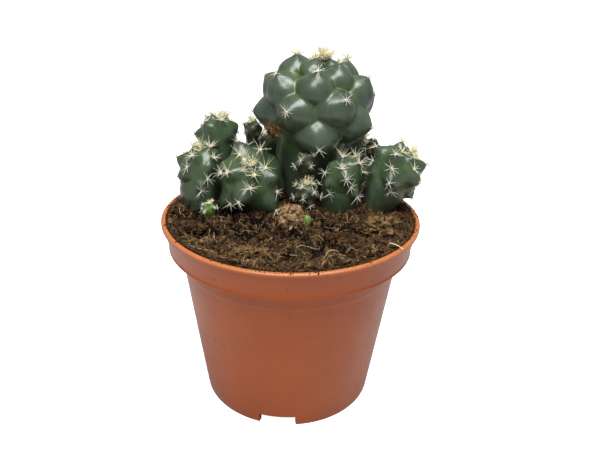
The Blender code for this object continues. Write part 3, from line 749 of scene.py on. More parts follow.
# %% [markdown]
# ## The heads
#
# A head is a round body that carries tubercles in a spiral: each next one lies a golden angle
# round and a step further down from the crown, which is how the growing point of a real
# cactus sets them. The skin is found by looking outwards from the head's middle in every
# direction of a fine grid. On the old main head a tubercle is a ball whose tip touches the
# head's outline, drawn out a little where its spines grow, and the skin lies on whichever
# ball, body or stem is furthest out. Blending the furthest few softly leaves a rounded furrow
# wherever two tubercles meet. The offsets are younger and smoother, so there each tubercle is
# a low bell with a small cone on it, added to the body, with lesser ones in between.

# %% The heads' sizes and places
GOLDEN_ANGLE = math.radians(137.508)
SOIL_LEVEL = POT_HEIGHT - 0.0030
SOIL_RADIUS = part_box("potting_soil")[1].x
KNOB_SHARE, BODY_DROP = 0.38, 1.30
SHOULDER_SAG, AREOLE_RISE = math.radians(9.0), math.radians(3.5)
MAIN_CLEARANCE, TOUCH_GAP = 1.05, 0.0003
KNOB_WIDTH, KNOB_SQUASH = 1.06, 1.16
LESSER_RANK, PRESS_SOFTNESS = 0.6, 0.14


def tipped(tilt, toward):
    """Rotation that leans the upright axis by an angle toward a compass direction."""
    hinge = Vector((-math.sin(toward), math.cos(toward), 0.0))
    return np.array(Matrix.Rotation(tilt, 3, hinge))


class Head:
    """One head. Its place is in shares of the soil's radius, its lift is above the soil's
    level, and count, step, turn and spin set its spiral of tubercles. Full is the body's
    share of the outline, and soft is how softly skin blends over it, in shares of the girth:
    the old main head is all tubercles, and the offsets are smooth with low ones. Uneven is how
    much noise swells the skin, swell and nose are the heights of the tubercles and of the
    tips that carry the spines, and fullness squares the shoulders."""

    def __init__(self, name, place, lift, tilt, toward, girth, rise, stem, root, count, step,
                 turn, spin, grid, look, slot, seated=True):
        """Turns the shares and degrees of the table below into lengths and radians."""
        self.name, self.seated = name, seated
        self.full, self.soft, self.uneven = (
            (0.72, 0.020, 0.020) if look is green_skin else (0.75, 0.040, 0.040))
        self.swell, self.nose, self.fullness = (
            (0.80, 0.34, 2.60) if look is green_skin else (0.52, 0.28, 2.25))
        self.centre = np.array([place[0] * SOIL_RADIUS, place[1] * SOIL_RADIUS, SOIL_LEVEL + lift])
        self.girth, self.rise, self.stem, self.root = girth, rise, stem, root
        self.count, self.step = count, math.radians(step)
        self.turn, self.spin = math.radians(turn), spin
        self.frame = tipped(math.radians(tilt), math.radians(toward))
        self.grid, self.look, self.slot = grid, look, slot


GREEN, OFFSET, OLD, YOUNG = ((green_skin, "green_skin"), (offset_skin, "green_skin"),
                             (old_skin, "old_skin"), (young_skin, "young_skin"))
HEADS = [
    Head("main_head", (0.202, 0.455), 0.0474, 7, -40, 0.0280, 0.0244, 0.0175, 0.0600,
         22, 5.33, 281, -1, (210, 290), *GREEN),
    Head("front_left_head", (-0.336, 0.161), 0.0149, 42, -88, 0.0192, 0.0180, 0.0150, 0.0240,
         17, 7.7, 234, 1, (150, 210), *OFFSET),
    Head("left_head", (-0.771, 0.245), 0.0175, 3, 138, 0.0126, 0.0146, 0.0114, 0.0260,
         14, 9.0, 288, 1, (120, 160), *OFFSET),
    Head("back_left_head", (-0.654, 0.536), 0.0314, 8, 48, 0.0112, 0.0106, 0.0086, 0.0420,
         14, 9.0, 249, -1, (110, 150), *OFFSET),
    Head("little_back_head", (-0.357, 0.589), 0.0337, 8, -90, 0.0055, 0.0056, 0.0035, 0.0440,
         14, 8.0, 80, -1, (90, 110), *OLD),
    Head("front_right_head", (0.425, 0.080), 0.0187, 12, -73, 0.0116, 0.0152, 0.0104, 0.0260,
         14, 9.0, 154, -1, (120, 160), *OFFSET),
    Head("right_head", (0.863, 0.071), 0.0234, 34, -22, 0.0137, 0.0134, 0.0116, 0.0340,
         15, 8.7, 325, -1, (120, 160), *OFFSET),
    Head("back_right_head", (0.589, 0.661), 0.0202, 10, 30, 0.0118, 0.0118, 0.0100, 0.0260,
         14, 9.0, 40, 1, (110, 150), *OFFSET),
    Head("back_middle_head", (-0.214, 0.804), 0.0182, 10, 110, 0.0110, 0.0116, 0.0096, 0.0260,
         14, 9.0, 200, -1, (110, 150), *OFFSET),
    Head("upper_bud", (0.111, 0.054), 0.0282, 20, -90, 0.0055, 0.0060, 0.0035, 0.0090,
         12, 9.0, 0, 1, (80, 100), *OLD, False),
    Head("lower_bud", (0.132, -0.018), 0.0137, 25, -90, 0.0062, 0.0064, 0.0045, 0.0180,
         14, 8.5, 50, -1, (80, 100), *OLD),
    Head("young_bud", (-0.670, -0.098), 0.0059, 10, -90, 0.0034, 0.0046, 0.0024, 0.0090,
         9, 11.0, 0, 1, (60, 80), *YOUNG),
]
MAIN = HEADS[0]
print("heads:", len(HEADS), "tubercles:", sum(head.count for head in HEADS))


# %% The shape of a head
def outline(head, aim):
    """Distance to the full-shouldered round that the tubercles' tips touch, which is deeper
    below the middle than above. It lies between an ellipsoid and a box with round corners."""
    height = np.where(aim[..., 2] >= 0.0, head.rise, head.girth * BODY_DROP)
    across = np.hypot(aim[..., 0], aim[..., 1]) / head.girth
    up = np.abs(aim[..., 2]) / height
    return (across ** head.fullness + up ** head.fullness) ** (-1.0 / head.fullness)


def stem_length(head, aim):
    """Distance to a round column with a blunt end, which fades in below the middle."""
    across = np.hypot(aim[..., 0], aim[..., 1]) / head.stem
    down = np.maximum(-aim[..., 2], 0.0) / head.root
    length = np.maximum(across ** 4 + down ** 4, 1e-12) ** -0.25
    return length * (1.0 - np.exp(-np.maximum(-aim[..., 2], 0.0) / 0.16))


def spiral(head, order, lower):
    """Directions to points of the head's spiral: point n lies n steps down from the crown,
    and an angle lower, and n golden angles round."""
    down = order * head.step + lower
    around = head.turn + head.spin * GOLDEN_ANGLE * order
    return np.stack([np.sin(down) * np.cos(around), np.sin(down) * np.sin(around),
                     np.cos(down)], axis=-1)


def tubercles(head, order):
    """Centres and radii of the tubercle balls. A ball hangs below its point of the spiral,
    the most on the shoulders, and its size follows the room it has there."""
    down = order * head.step
    aim = spiral(head, order, SHOULDER_SAG * np.clip(np.sin(2.0 * down), 0.0, 1.0))
    size = head.girth * KNOB_SHARE * np.clip(np.sqrt(np.abs(np.sin(down))), 0.40, 1.0)
    return aim * (outline(head, aim) - size)[:, None], size


def areoles(head):
    """Orders on the spiral that carry spines, and the share of the full height each rises to.
    The larger offsets have lesser ones halfway between the main ones."""
    whole = np.arange(1.0, head.count + 1.0)
    halves = np.arange(2.5, head.count) if head.look is offset_skin else whole[:0]
    return np.concatenate([whole, halves]), np.concatenate([whole ** 0, halves ** 0 * LESSER_RANK])


def far_side(aim, centres, sizes):
    """Where each ray from the middle leaves each ball, or 0. The balls are squashed a little,
    so the ray is solved in a space stretched upwards, where they are round."""
    tall = np.array([1.0, 1.0, KNOB_SQUASH])
    ray, middle = aim * tall, centres * tall
    along = ray @ middle.T
    square = (ray ** 2).sum(-1)[..., None]
    inside = along ** 2 - square * ((middle ** 2).sum(1) - (sizes * KNOB_WIDTH) ** 2)
    return np.where(inside > 0.0, (along + np.sqrt(np.maximum(inside, 0.0))) / square, 0.0)


def bare_skin(head, aim):
    """Distance to the skin, and three measures of it: how deep in a furrow, how near a
    tubercle's tip, and how old. On the main head each tubercle is a ball's far side with a
    blunt cone on it. On the others it is a low bell and a cone, added to a smooth body. The
    stem, and whatever is longest, blend by the logarithm of a sum of exponentials."""
    order, rank = areoles(head)
    centres, sizes = tubercles(head, order)
    off_tip = np.maximum(1.0 - aim @ spiral(head, order, -AREOLE_RISE).T, 0.0)
    width = (sizes / head.girth) ** 2
    nose = np.exp(-np.sqrt(2.0 * off_tip / width + 0.01) / 0.55)
    body = (outline(head, aim) * head.full)[..., None]
    peak = sizes * (head.nose * nose + 0.05 * np.exp(-off_tip / (0.03 * width)))
    if head.look is green_skin:
        hit = far_side(aim, centres, sizes)
        hit = np.where(hit > 0.0, body + (hit - body) * head.swell + peak, 0.0)
    else:
        hill = sizes * head.swell * np.exp(-(off_tip / (0.34 * width)) ** 1.3)
        hit = body + (hill * rank ** 4 + peak * rank).sum(-1, keepdims=True)
    every = np.concatenate([hit, body * 0.98, stem_length(head, aim)[..., None]], axis=-1)
    ranked = np.sort(every, axis=-1)
    top = ranked[..., -1:]
    soft = head.girth * head.soft
    distance = top[..., 0] + soft * np.log(np.exp((every - top) / soft).sum(-1))
    seam = np.exp(-(ranked[..., -1] - ranked[..., -2]) / (0.05 * head.girth))
    depth = np.clip(1.0 - distance / outline(head, aim), 0.0, 0.35) / 0.35
    patchy = 0.5 + 0.5 * rough_noise(aim, 0.55, 7, 2)
    above_stem = np.clip(aim[..., 2] * distance / head.girth + 1.15, 0.0, 1.0)
    furrow = (0.55 * depth + seam * depth) * (0.3 + 1.4 * patchy) * above_stem
    furrow = np.clip(furrow, 0.0, 1.0)
    tip = nose.max(-1)
    age = np.clip(-0.20 - aim[..., 2] * distance / head.girth * 0.6, 0.0, 1.0)
    return distance, furrow, tip, age


# %% How the heads press on each other
def stem_plane(head):
    """The upright face that keeps a smaller head off the main head's leaning stem."""
    axis = MAIN.frame[:, 2]
    levels = np.array([SOIL_LEVEL, head.centre[2], head.centre[2] + head.rise])
    away = MAIN.centre + axis * ((levels - MAIN.centre[2]) / axis[2])[:, None] - head.centre
    inward = unit(away[1] * [1.0, 1.0, 0.0])
    return inward, (away @ inward).min() - MAIN.stem - TOUCH_GAP


def press_planes(head):
    """Flat faces where heads press together: (outward direction, distance). Two heads that
    both stand on the soil meet at an upright face between them."""
    planes = []
    for other in HEADS:
        if other is head or head is MAIN:
            continue
        toward = other.centre - head.centre
        if head.seated and other.seated and other is not MAIN:
            toward = toward * [1.0, 1.0, 0.0]
        apart = np.linalg.norm(toward)
        share = (apart ** 2 + head.girth ** 2 - other.girth ** 2) / (2.0 * apart)
        if other is MAIN:
            share = apart - MAIN.girth * MAIN_CLEARANCE
        planes.append((toward / apart, share - TOUCH_GAP / 2.0))
    if head is not MAIN:
        planes.append(stem_plane(head))
    return planes


def press(head, aim, distance):
    """Shortens each ray that would pass through a pressed face, with a soft shoulder: the
    smaller of the two lengths, blended where they are nearly the same."""
    soft = PRESS_SOFTNESS * head.girth
    for normal, reach in press_planes(head):
        toward = aim @ (head.frame.T @ normal)
        limit = np.where(toward > 1e-6, reach / np.maximum(toward, 1e-6), 1.0)
        gap = np.clip((limit - distance) / soft, -40.0, 40.0)
        distance = np.where(gap > 8.0, distance, limit - soft * np.log1p(np.exp(gap)))
    return distance


# %% Make the heads
def build_head(head):
    """The skin of one head: its bare shape with slow noise on it, pressed by its neighbours,
    cut level where it stands in the soil, and leaned over by the head's own rotation."""
    aim = ball_grid(*head.grid)
    distance, furrow, tip, age = bare_skin(head, aim)
    bumps = rough_noise(aim * distance[..., None] + head.centre, head.girth * 0.50, 3)
    distance = press(head, aim, distance * (1.0 + head.uneven * bumps))
    floor = (head.centre[2] - SOIL_LEVEL + 0.003) / np.maximum(-(aim @ head.frame.T)[..., 2], 1e-6)
    if head.seated:
        distance = np.minimum(distance, floor)
    grid = (aim * distance[..., None]) @ head.frame.T + head.centre
    points, faces = closed_skin(grid)
    skin = mesh_object(head.name + "_skin", points, faces, {
        "furrow": on_skin(furrow), "tip": on_skin(tip), "age": on_skin(age)})
    return settle(skin, head.look, [head.name])


for each_head in HEADS:
    build_head(each_head)

# %% [markdown]
# ## Spines and wool
#
# Every tubercle ends in an areole, a small pad of wool with a ring of thin spines. The
# youngest, at the crown, are crowded, upright and yellow; further down the spines spread
# flat, turn grey and get lost, so some pads have only a few. A spine is a path that leaves
# its pad and bends back a little, with a ring of five points carried along it and narrowing
# to a tip. The numbers that scatter them come from a seeded generator, one for each head.

# %% Where the spines grow
SPINE_LENGTH, SPINE_RADIUS, SPINE_SIDES, SPINE_POINTS = 0.0057, 0.00017, 5, 6


def grow_points(head):
    """Each areole's foot on the skin, the way it faces, and its age from 0 at the crown
    to 1. A few extra ones crowd the crown, and those behind a pressed face are left out."""
    extra = [0.2, 0.5, 0.8, 1.5, 2.5, 3.5] if head is MAIN else [0.5]
    order = np.concatenate([extra, areoles(head)[0]])
    centres = tubercles(head, order)[0]
    rays = spiral(head, order, -AREOLE_RISE)
    free = bare_skin(head, rays)[0]
    pressed = press(head, rays, free)
    feet = rays * free[:, None]
    facing = unit(unit(feet - centres) + 0.4 * rays)
    world = feet @ head.frame.T + head.centre
    seen = (free - pressed < 0.0008) & (world[:, 2] > SOIL_LEVEL + 0.002)
    age = np.clip(order / head.count, 0.0, 1.0)
    return world[seen], (facing @ head.frame.T)[seen], age[seen]


# %% Grow the spines
def spine_paths(dice, feet, facing, age, length, crowd):
    """One path for each spine: straight out at first, then bending back towards the skin by
    the square of the way along."""
    count = np.where(age < 0.36, crowd, dice.integers(6, 11, len(age)))
    owner = np.repeat(np.arange(len(age)), count)
    nth = np.concatenate([np.arange(n) for n in count])
    around = math.tau * nth / count[owner] + dice.uniform(-0.3, 0.3, len(owner))
    spread = np.radians(np.interp(age[owner], [0.0, 0.3, 0.6], [44.0, 60.0, 72.0]))
    spread = spread + dice.uniform(-0.28, 0.28, len(owner))
    spread[nth == 0] *= 0.25
    face = facing[owner]
    side = unit(np.cross(face, [0.13, 0.21, 0.97]))
    above = np.cross(face, side)
    flat = side * np.cos(around)[:, None] + above * np.sin(around)[:, None]
    aim = face * np.cos(spread)[:, None] + flat * np.sin(spread)[:, None]
    youth = np.interp(age[owner], [0.0, 0.25, 0.40, 1.0], [1.25, 1.20, 0.88, 0.88])
    reach = length * dice.uniform(0.62, 1.0, len(owner)) * youth
    along = np.linspace(0.0, 1.0, SPINE_POINTS)[None, :, None]
    bend = dice.uniform(-0.02, 0.16, len(owner))[:, None, None]
    bent = aim[:, None] * along - face[:, None] * bend * along ** 2
    return feet[owner][:, None] + bent * reach[:, None, None], age[owner]


def build_spines(head, seed, stands_for):
    """All the spines of one head as one piece. The main head's crown has the most of them."""
    dice = np.random.default_rng(seed)
    feet, facing, age = grow_points(head)
    length = SPINE_LENGTH * min(1.0, 0.10 + head.girth / 0.0122)
    crowd = 20 if head is MAIN else 11
    paths, ages = spine_paths(dice, feet, facing, age, length, crowd)
    taper = SPINE_RADIUS * np.linspace(1.0, 0.12, SPINE_POINTS) ** 0.8
    radii = np.tile(taper, (len(paths), 1)) * dice.uniform(0.75, 1.1, (len(paths), 1))
    points, faces = strands(paths, radii, SPINE_SIDES)
    own = np.repeat(np.linspace(0.0, 1.0, SPINE_POINTS), SPINE_SIDES)
    along = np.tile(np.concatenate([own, [0.0, 1.0]]), len(paths))
    ages = np.clip(ages * 1.6 + dice.uniform(-0.15, 0.15, len(ages)), 0.0, 1.0)
    spines = mesh_object(head.name + "_spines", points, faces, {
        "age": per_strand(ages, SPINE_POINTS, SPINE_SIDES), "along": along})
    return settle(spines, spine_finish, stands_for)


def stars_of(head):
    """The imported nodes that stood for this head's spines."""
    return [n for n in sorted(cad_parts) if n.startswith(head.name + "_spines_")]


for seed, each_head in enumerate(HEADS):
    build_spines(each_head, 100 + seed, stars_of(each_head))


# %% Grow the wool
def build_wool(head, seed):
    """A pad on each areole, a flattened ball with a torn surface, and a tuft of short bent
    hairs in it. Young pads are the fullest."""
    dice = np.random.default_rng(seed)
    feet, facing, age = grow_points(head)
    aim = ball_grid(7, 10)
    shape, faces = closed_skin(aim * (1.0 + 0.25 * rough_noise(aim, 0.7, seed))[..., None])
    side = unit(np.cross(facing, [0.13, 0.21, 0.97]))
    turns = np.stack([side, np.cross(facing, side), facing], axis=-1)
    small = min(1.0, 0.12 + head.girth / 0.022)
    full = np.interp(age, [0.0, 0.2, 1.0], [1.4, 1.1, 0.6]) * small
    sizes = full[:, None] * np.array([0.00085, 0.00085, 0.00055])
    pads, pad_faces = copies(shape, faces, turns, sizes, feet)
    hairs = 16
    owner = np.repeat(np.arange(len(age)), hairs)
    aims = unit(facing[owner] + dice.normal(0.0, 0.75, (len(owner), 3)))
    along = np.linspace(0.0, 1.0, 4)[None, :, None]
    curl = dice.normal(0.0, 0.35, (len(owner), 1, 3))
    reach = (0.0013 * full[owner] * dice.uniform(0.7, 1.3, len(owner)))[:, None, None]
    paths = feet[owner][:, None] + (aims[:, None] * along + curl * along ** 2) * reach
    radii = np.tile(np.array([0.00006, 0.00005, 0.00004, 0.00002]), (len(owner), 1))
    tufts, tuft_faces = strands(paths, radii, 3)
    points = np.concatenate([pads, tufts])
    joined = pad_faces + [part + len(pads) for part in tuft_faces]
    ages = np.concatenate([np.repeat(age, len(shape)), per_strand(age[owner], 4, 3)])
    wool = mesh_object(head.name + "_wool", points, joined, {
        "age": ages, "along": np.zeros(len(points))})
    return settle(wool, wool_finish)


for seed, each_head in enumerate(HEADS):
    build_wool(each_head, 200 + seed)

# %% [markdown]
# ## The soil
#
# Fibrous peat is a jumble of sizes: soft humps, crumbs on them, and fine grit on those, with
# dark gaps between. The ground itself is a height field with several layers of rough noise,
# on a disc of rings and spokes close enough together to hold crumbs of half a millimetre.
# Loose crumbs, fibres and roots then lie on top of it, thrown by a seeded generator, because
# no height field can overhang or leave a gap underneath.

# %% The lie of the ground
MOUND_CENTRE, SOIL_MOUND, MOUND_REACH, BACK_RISE = (0.061, 0.273), 0.0030, 0.0340, 0.0022
SHELF_Z = SHOULDER_Z + WALL + TOUCH_GAP


def calm_ground(x, y):
    """A low mound under the plant, a rise to the back, and soil banked against each head."""
    reach = np.hypot(x - MOUND_CENTRE[0] * SOIL_RADIUS, y - MOUND_CENTRE[1] * SOIL_RADIUS)
    height = SOIL_LEVEL + SOIL_MOUND * np.exp(-(reach / MOUND_REACH) ** 2)
    height = height + BACK_RISE * np.maximum(y, 0.0) / LIP_RADIUS
    for head in HEADS:
        if head.seated:
            off = np.maximum(np.hypot(x - head.centre[0], y - head.centre[1]) - head.stem, 0.0)
            height = height + 0.0016 * np.exp(-(off / 0.0040) ** 2)
    return height


def crumbly(points):
    """Rough layers of three sizes. The folded noise, one less its absolute value, makes
    rounded crumbs with sharp gaps between them."""
    humps = rough_noise(points, 0.011, 31, 3)
    crumbs = 1.0 - np.abs(rough_noise(points, 0.0036, 41, 3)) * 2.2
    grit = rough_noise(points, 0.0011, 51, 2)
    return 0.0036 * humps + 0.0022 * (crumbs - 0.3) * (0.7 + 0.6 * humps) + 0.00055 * grit


def ground(x, y):
    """The calm ground with its crumbs, banked up a little towards the pot's lip."""
    flat = np.stack([x, y, np.zeros_like(x)], axis=-1)
    near_wall = np.clip((np.hypot(x, y) / SOIL_EDGE - 0.80) / 0.20, 0.0, 1.0)
    height = calm_ground(x, y) + crumbly(flat) * (1.0 - 0.45 * near_wall) + 0.0024 * near_wall
    return np.minimum(height, POT_HEIGHT + 0.0030 - 0.0030 * near_wall)


# %% Make the ground
RINGS, SPOKES = 200, 470
share = np.linspace(0.0, 1.0, RINGS) ** 0.80
around = np.arange(SPOKES) * math.tau / SPOKES
x = SOIL_EDGE * share[:, None] * np.cos(around)
y = SOIL_EDGE * share[:, None] * np.sin(around)
z = ground(x, y)
# Painted shade: 'lift' is the height over the calm ground, so the hollows between crumbs are
# painted dark, partly also as damper peat.
lift = 0.40 + (z - calm_ground(x, y)) / 0.0046
sides = np.array([
    (BAND_FOOT - WALL - TOUCH_GAP, SHELF_Z),
    (wall_radius(SHELF_Z) - WALL - TOUCH_GAP, SHELF_Z),
    (wall_radius(FLOOR_TOP) - WALL - TOUCH_GAP, FLOOR_TOP + TOUCH_GAP),
    (0.0, FLOOR_TOP + TOUCH_GAP)])
skirt = np.stack([sides[:, :1] * np.cos(around), sides[:, :1] * np.sin(around),
                  sides[:, 1:] + 0.0 * around], axis=-1)
grid = np.concatenate([np.stack([x, y, z], axis=-1), skirt])
lift = np.concatenate([lift, np.zeros(skirt.shape[:2])])
tint = rough_noise(grid, 0.006, 61, 3) - 0.1
points, faces = closed_skin(grid)
soil = mesh_object("peat_ground", points, faces, {"lift": on_skin(lift), "tint": on_skin(tint)})
settle(soil, peat_finish, ["potting_soil"])


# %% Scatter things on the ground
def open_spots(dice, count, spread=0.97):
    """Places on the ground, even over its area, that aren't inside a head."""
    radius = SOIL_EDGE * spread * np.sqrt(dice.uniform(0.0, 1.0, count * 3))
    angle = dice.uniform(0.0, math.tau, count * 3)
    spots = np.stack([radius * np.cos(angle), radius * np.sin(angle)], axis=-1)
    clear = np.ones(len(spots), bool)
    for head in HEADS:
        if head.seated:
            clear &= np.hypot(*(spots - head.centre[:2]).T) > head.stem * 0.92
    return spots[clear][:count]


def pebble(rows, columns, seed, rough=0.75):
    """A small torn chip: unit directions pushed in and out by noise."""
    aim = ball_grid(rows, columns)
    return closed_skin(aim * (1.0 + rough * rough_noise(aim, 0.6, seed, 2))[..., None])


def build_crumbs(name, seed, count, small, large, look, sunk=0.25, finer=1):
    """Lumpy chips of many sizes, most of them small, each turned its own way."""
    dice = np.random.default_rng(seed)
    spots = open_spots(dice, count)
    size = small + (large - small) * dice.uniform(0.0, 1.0, len(spots)) ** 3
    sizes = size[:, None] * dice.uniform([0.9, 0.4, 0.2], [2.4, 0.9, 0.6], (len(spots), 3))
    level = ground(spots[:, 0], spots[:, 1])
    places = np.column_stack([spots, level + size * (0.5 - sunk)])
    shape, faces = pebble(5 * finer, 6 * finer, seed)
    points, faces = copies(shape, faces, random_turns(dice, len(spots)), sizes, places)
    patch = 0.9 * rough_noise(np.column_stack([spots, level * 0.0]), 0.008, 71, 3)
    tint = np.clip(dice.uniform(0.0, 1.0, len(spots)) ** 2 + patch, 0.0, 1.0)
    # Painted shade and painted light: crumbs in the ground's hollows come out darker, and each
    # crumb's top is painted paler than its underside, as if lit from above.
    raised = (level - calm_ground(spots[:, 0], spots[:, 1])) / 0.0042
    lift = np.clip(0.20 + 1.3 * raised[:, None] + 0.45 * shape[None, :, 2], 0.0, 1.0).ravel()
    tint = np.repeat(tint, len(shape))
    crumbs = mesh_object(name, points, faces, {"tint": tint, "lift": lift})
    return settle(crumbs, look)


build_crumbs("peat_crumbs", 301, 4600, 0.00022, 0.0017, peat_finish)
build_crumbs("moss_crumbs", 302, 1700, 0.00022, 0.0016, moss_finish)
build_crumbs("dark_crumbs", 303, 1500, 0.00025, 0.0018, litter_finish)
build_crumbs("dark_flakes", 304, 120, 0.0008, 0.0021, litter_finish, 0.4, 2)
build_crumbs("moss_flakes", 305, 150, 0.0009, 0.0028, moss_finish, 0.4, 2)
build_crumbs("tan_flakes", 306, 70, 0.0006, 0.0018, tan_finish, 0.3, 2)


# %% Fibres and roots
def build_fibres(name, seed, count, shortest, longest, thick, look, lie=0.0005):
    """Bent threads that follow the ground: each walks from its spot on a heading that drifts
    by a few smooth turns, and rests on whatever height is below it."""
    dice = np.random.default_rng(seed)
    spots = open_spots(dice, count, 0.93)
    reach = dice.uniform(shortest, longest, len(spots))[:, None]
    along = np.linspace(-0.5, 0.5, 9)[None]
    drift = dice.normal(0.0, 0.45, (len(spots), 1)) * along * 2.0
    drift = drift + dice.normal(0.0, 0.25, (len(spots), 1)) * np.sin(along * 7.0)
    heading = dice.uniform(0.0, math.tau, (len(spots), 1)) + drift
    step = reach / 8.0
    x = spots[:, :1] + np.cumsum(np.cos(heading) * step, axis=1)
    y = spots[:, 1:] + np.cumsum(np.sin(heading) * step, axis=1)
    inside = np.minimum(1.0, SOIL_EDGE * 0.97 / np.hypot(x, y))
    x, y = x * inside, y * inside
    rise = dice.uniform(0.0, 1.0, (len(spots), 1)) * np.cos(along * math.pi) * lie * 2.0
    z = ground(x, y) + lie * 0.4 + rise
    z[:, 1:-1] = 0.25 * z[:, :-2] + 0.5 * z[:, 1:-1] + 0.25 * z[:, 2:]
    radii = thick * dice.uniform(0.6, 1.3, (len(spots), 1)) * (1.0 - 0.5 * (along + 0.5))
    points, faces = strands(np.stack([x, y, z], axis=-1), radii, 4)
    tint = per_strand(dice.uniform(0.0, 1.0, len(spots)), 9, 4)
    threads = mesh_object(name, points, faces, {"tint": tint, "lift": np.ones(len(points))})
    return settle(threads, look)


build_fibres("peat_fibres", 311, 2300, 0.0012, 0.0055, 0.00013, fibre_finish)
build_fibres("brown_fibres", 314, 2000, 0.0012, 0.0050, 0.00017, peat_finish, 0.0007)
build_fibres("dark_roots", 312, 420, 0.0030, 0.0110, 0.00017, litter_finish, 0.0008)
build_fibres("tan_roots", 315, 170, 0.0030, 0.0120, 0.00013, tan_finish, 0.0012)
build_fibres("pale_roots", 313, 22, 0.0060, 0.0170, 0.00011, straw_finish, 0.0010)

# %% [markdown]
# ## Clods, dried parts and litter
#
# The bigger bits each sit in the place of a packed one. A clod is a flattened ball torn by
# rough noise, buried in loose chips of the same stuff and bristling with short fibres. The
# dried bud and the flower's remains are made alike, with other sizes and finishes. One
# function makes them all, and its numbers give each its own character. The last bits are a
# curled leaf, a stalk over the lip, grit spilled on the lip, and a small green shoot that has
# just come up beside the dried bud.

# %% Lumps
def lump_shape(middle, half, turn, seed, torn):
    """A ball stretched to three half sizes, pushed in and out by noise in shares of its size,
    and turned about the upright axis."""
    aim = ball_grid(64, 90)
    large, small = rough_noise(aim, 0.55, seed, 4), rough_noise(aim, 0.12, seed + 9, 2)
    swell = 1.0 + torn * large + 0.35 * torn * small
    local = aim * swell[..., None] * half
    c, s = math.cos(turn), math.sin(turn)
    local = local @ np.array([[c, s, 0.0], [-s, c, 0.0], [0.0, 0.0, 1.0]])
    # Painted shade: dents in the lump get a low 'lift' and come out darker, and bulges get a high
    # one and come out paler.
    lift = 0.55 + 1.6 * (swell - 1.0) / max(torn, 0.01)
    return local + middle, np.clip(lift, 0.0, 1.0)


def bristles(dice, grid, middle, count, length, thick):
    """Short bent fibres that stand on random points of a lump's surface."""
    flat = grid[4:-4].reshape(-1, 3)
    feet = flat[dice.integers(0, len(flat), count)]
    aims = unit(unit(feet - middle) + dice.normal(0.0, 0.7, (count, 3)))
    along = np.linspace(0.0, 1.0, 5)[None, :, None]
    curl = dice.normal(0.0, 0.45, (count, 1, 3))
    reach = (length * dice.uniform(0.4, 1.3, count))[:, None, None]
    paths = feet[:, None] + (aims[:, None] * along + curl * along ** 2) * reach
    radii = thick * np.linspace(1.0, 0.4, 5) * dice.uniform(0.6, 1.2, (count, 1))
    return strands(paths, radii, 3)


def build_lump(node, half, turn_deg, seed, torn, look, chips, hairs, hair_length=0.0012,
               hair_thick=0.00007):
    """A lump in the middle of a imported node's place, with its chips and bristles."""
    dice = np.random.default_rng(seed)
    low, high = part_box(node)
    middle = np.array((low + high) / 2.0)
    grid, lift = lump_shape(middle, np.array(half), math.radians(turn_deg), seed, torn)
    body, faces = closed_skin(grid)
    parts, values = [body], [on_skin(lift)]
    start = len(body)
    if chips:
        flat = grid[4:-4].reshape(-1, 3)
        spots = flat[dice.integers(0, len(flat), chips)]
        ways = dice.uniform([0.9, 0.5, 0.2], [2.2, 1.0, 0.6], (chips, 3))
        sizes = min(half) * 0.24 * dice.uniform(0.4, 1.3, (chips, 1)) * ways
        shape, chip_faces = pebble(5, 6, seed)
        made, chip_faces = copies(shape, chip_faces, random_turns(dice, chips), sizes, spots)
        parts.append(made)
        values.append(np.repeat(dice.uniform(0.2, 1.0, chips), len(shape)))
        faces = faces + [part + start for part in chip_faces]
        start += len(made)
    if hairs:
        made, hair_faces = bristles(dice, grid, middle, hairs, hair_length, hair_thick)
        parts.append(made)
        values.append(per_strand(dice.uniform(0.5, 1.0, hairs), 5, 3))
        faces = faces + [part + start for part in hair_faces]
    points = np.concatenate(parts)
    tint = 0.5 + 0.5 * rough_noise(points, 0.003, seed, 2)
    made = mesh_object("torn_" + node, points, faces, {
        "lift": np.concatenate(values), "tint": tint})
    return settle(made, look, [node])


build_lump("clod_front", (0.0068, 0.0042, 0.0028), 12, 401, 0.85, moss_finish,
           260, 200)
build_lump("clod_right", (0.0092, 0.0064, 0.0032), 30, 402, 0.85, moss_finish,
           420, 360, 0.0020)
build_lump("clod_right_front", (0.0080, 0.0052, 0.0026), -15, 403, 0.60, peat_finish,
           260, 160)
build_lump("clod_left", (0.0052, 0.0060, 0.0028), 20, 404, 0.60, peat_finish,
           200, 120)
build_lump("dry_bud", (0.0052, 0.0046, 0.0058), 0, 405, 0.40, tan_finish,
           240, 700, 0.0014)
build_lump("dried_flower", (0.0026, 0.0022, 0.0024), 0, 406, 0.80, moss_finish,
           60, 160, 0.0026, 0.00011)
build_lump("corky_stub", (0.0032, 0.0028, 0.0042), 0, 407, 0.55, cork_finish,
           120, 60)
build_lump("perlite_grain", (0.0013, 0.0011, 0.0010), 0, 408, 0.45, perlite_finish,
           0, 0)


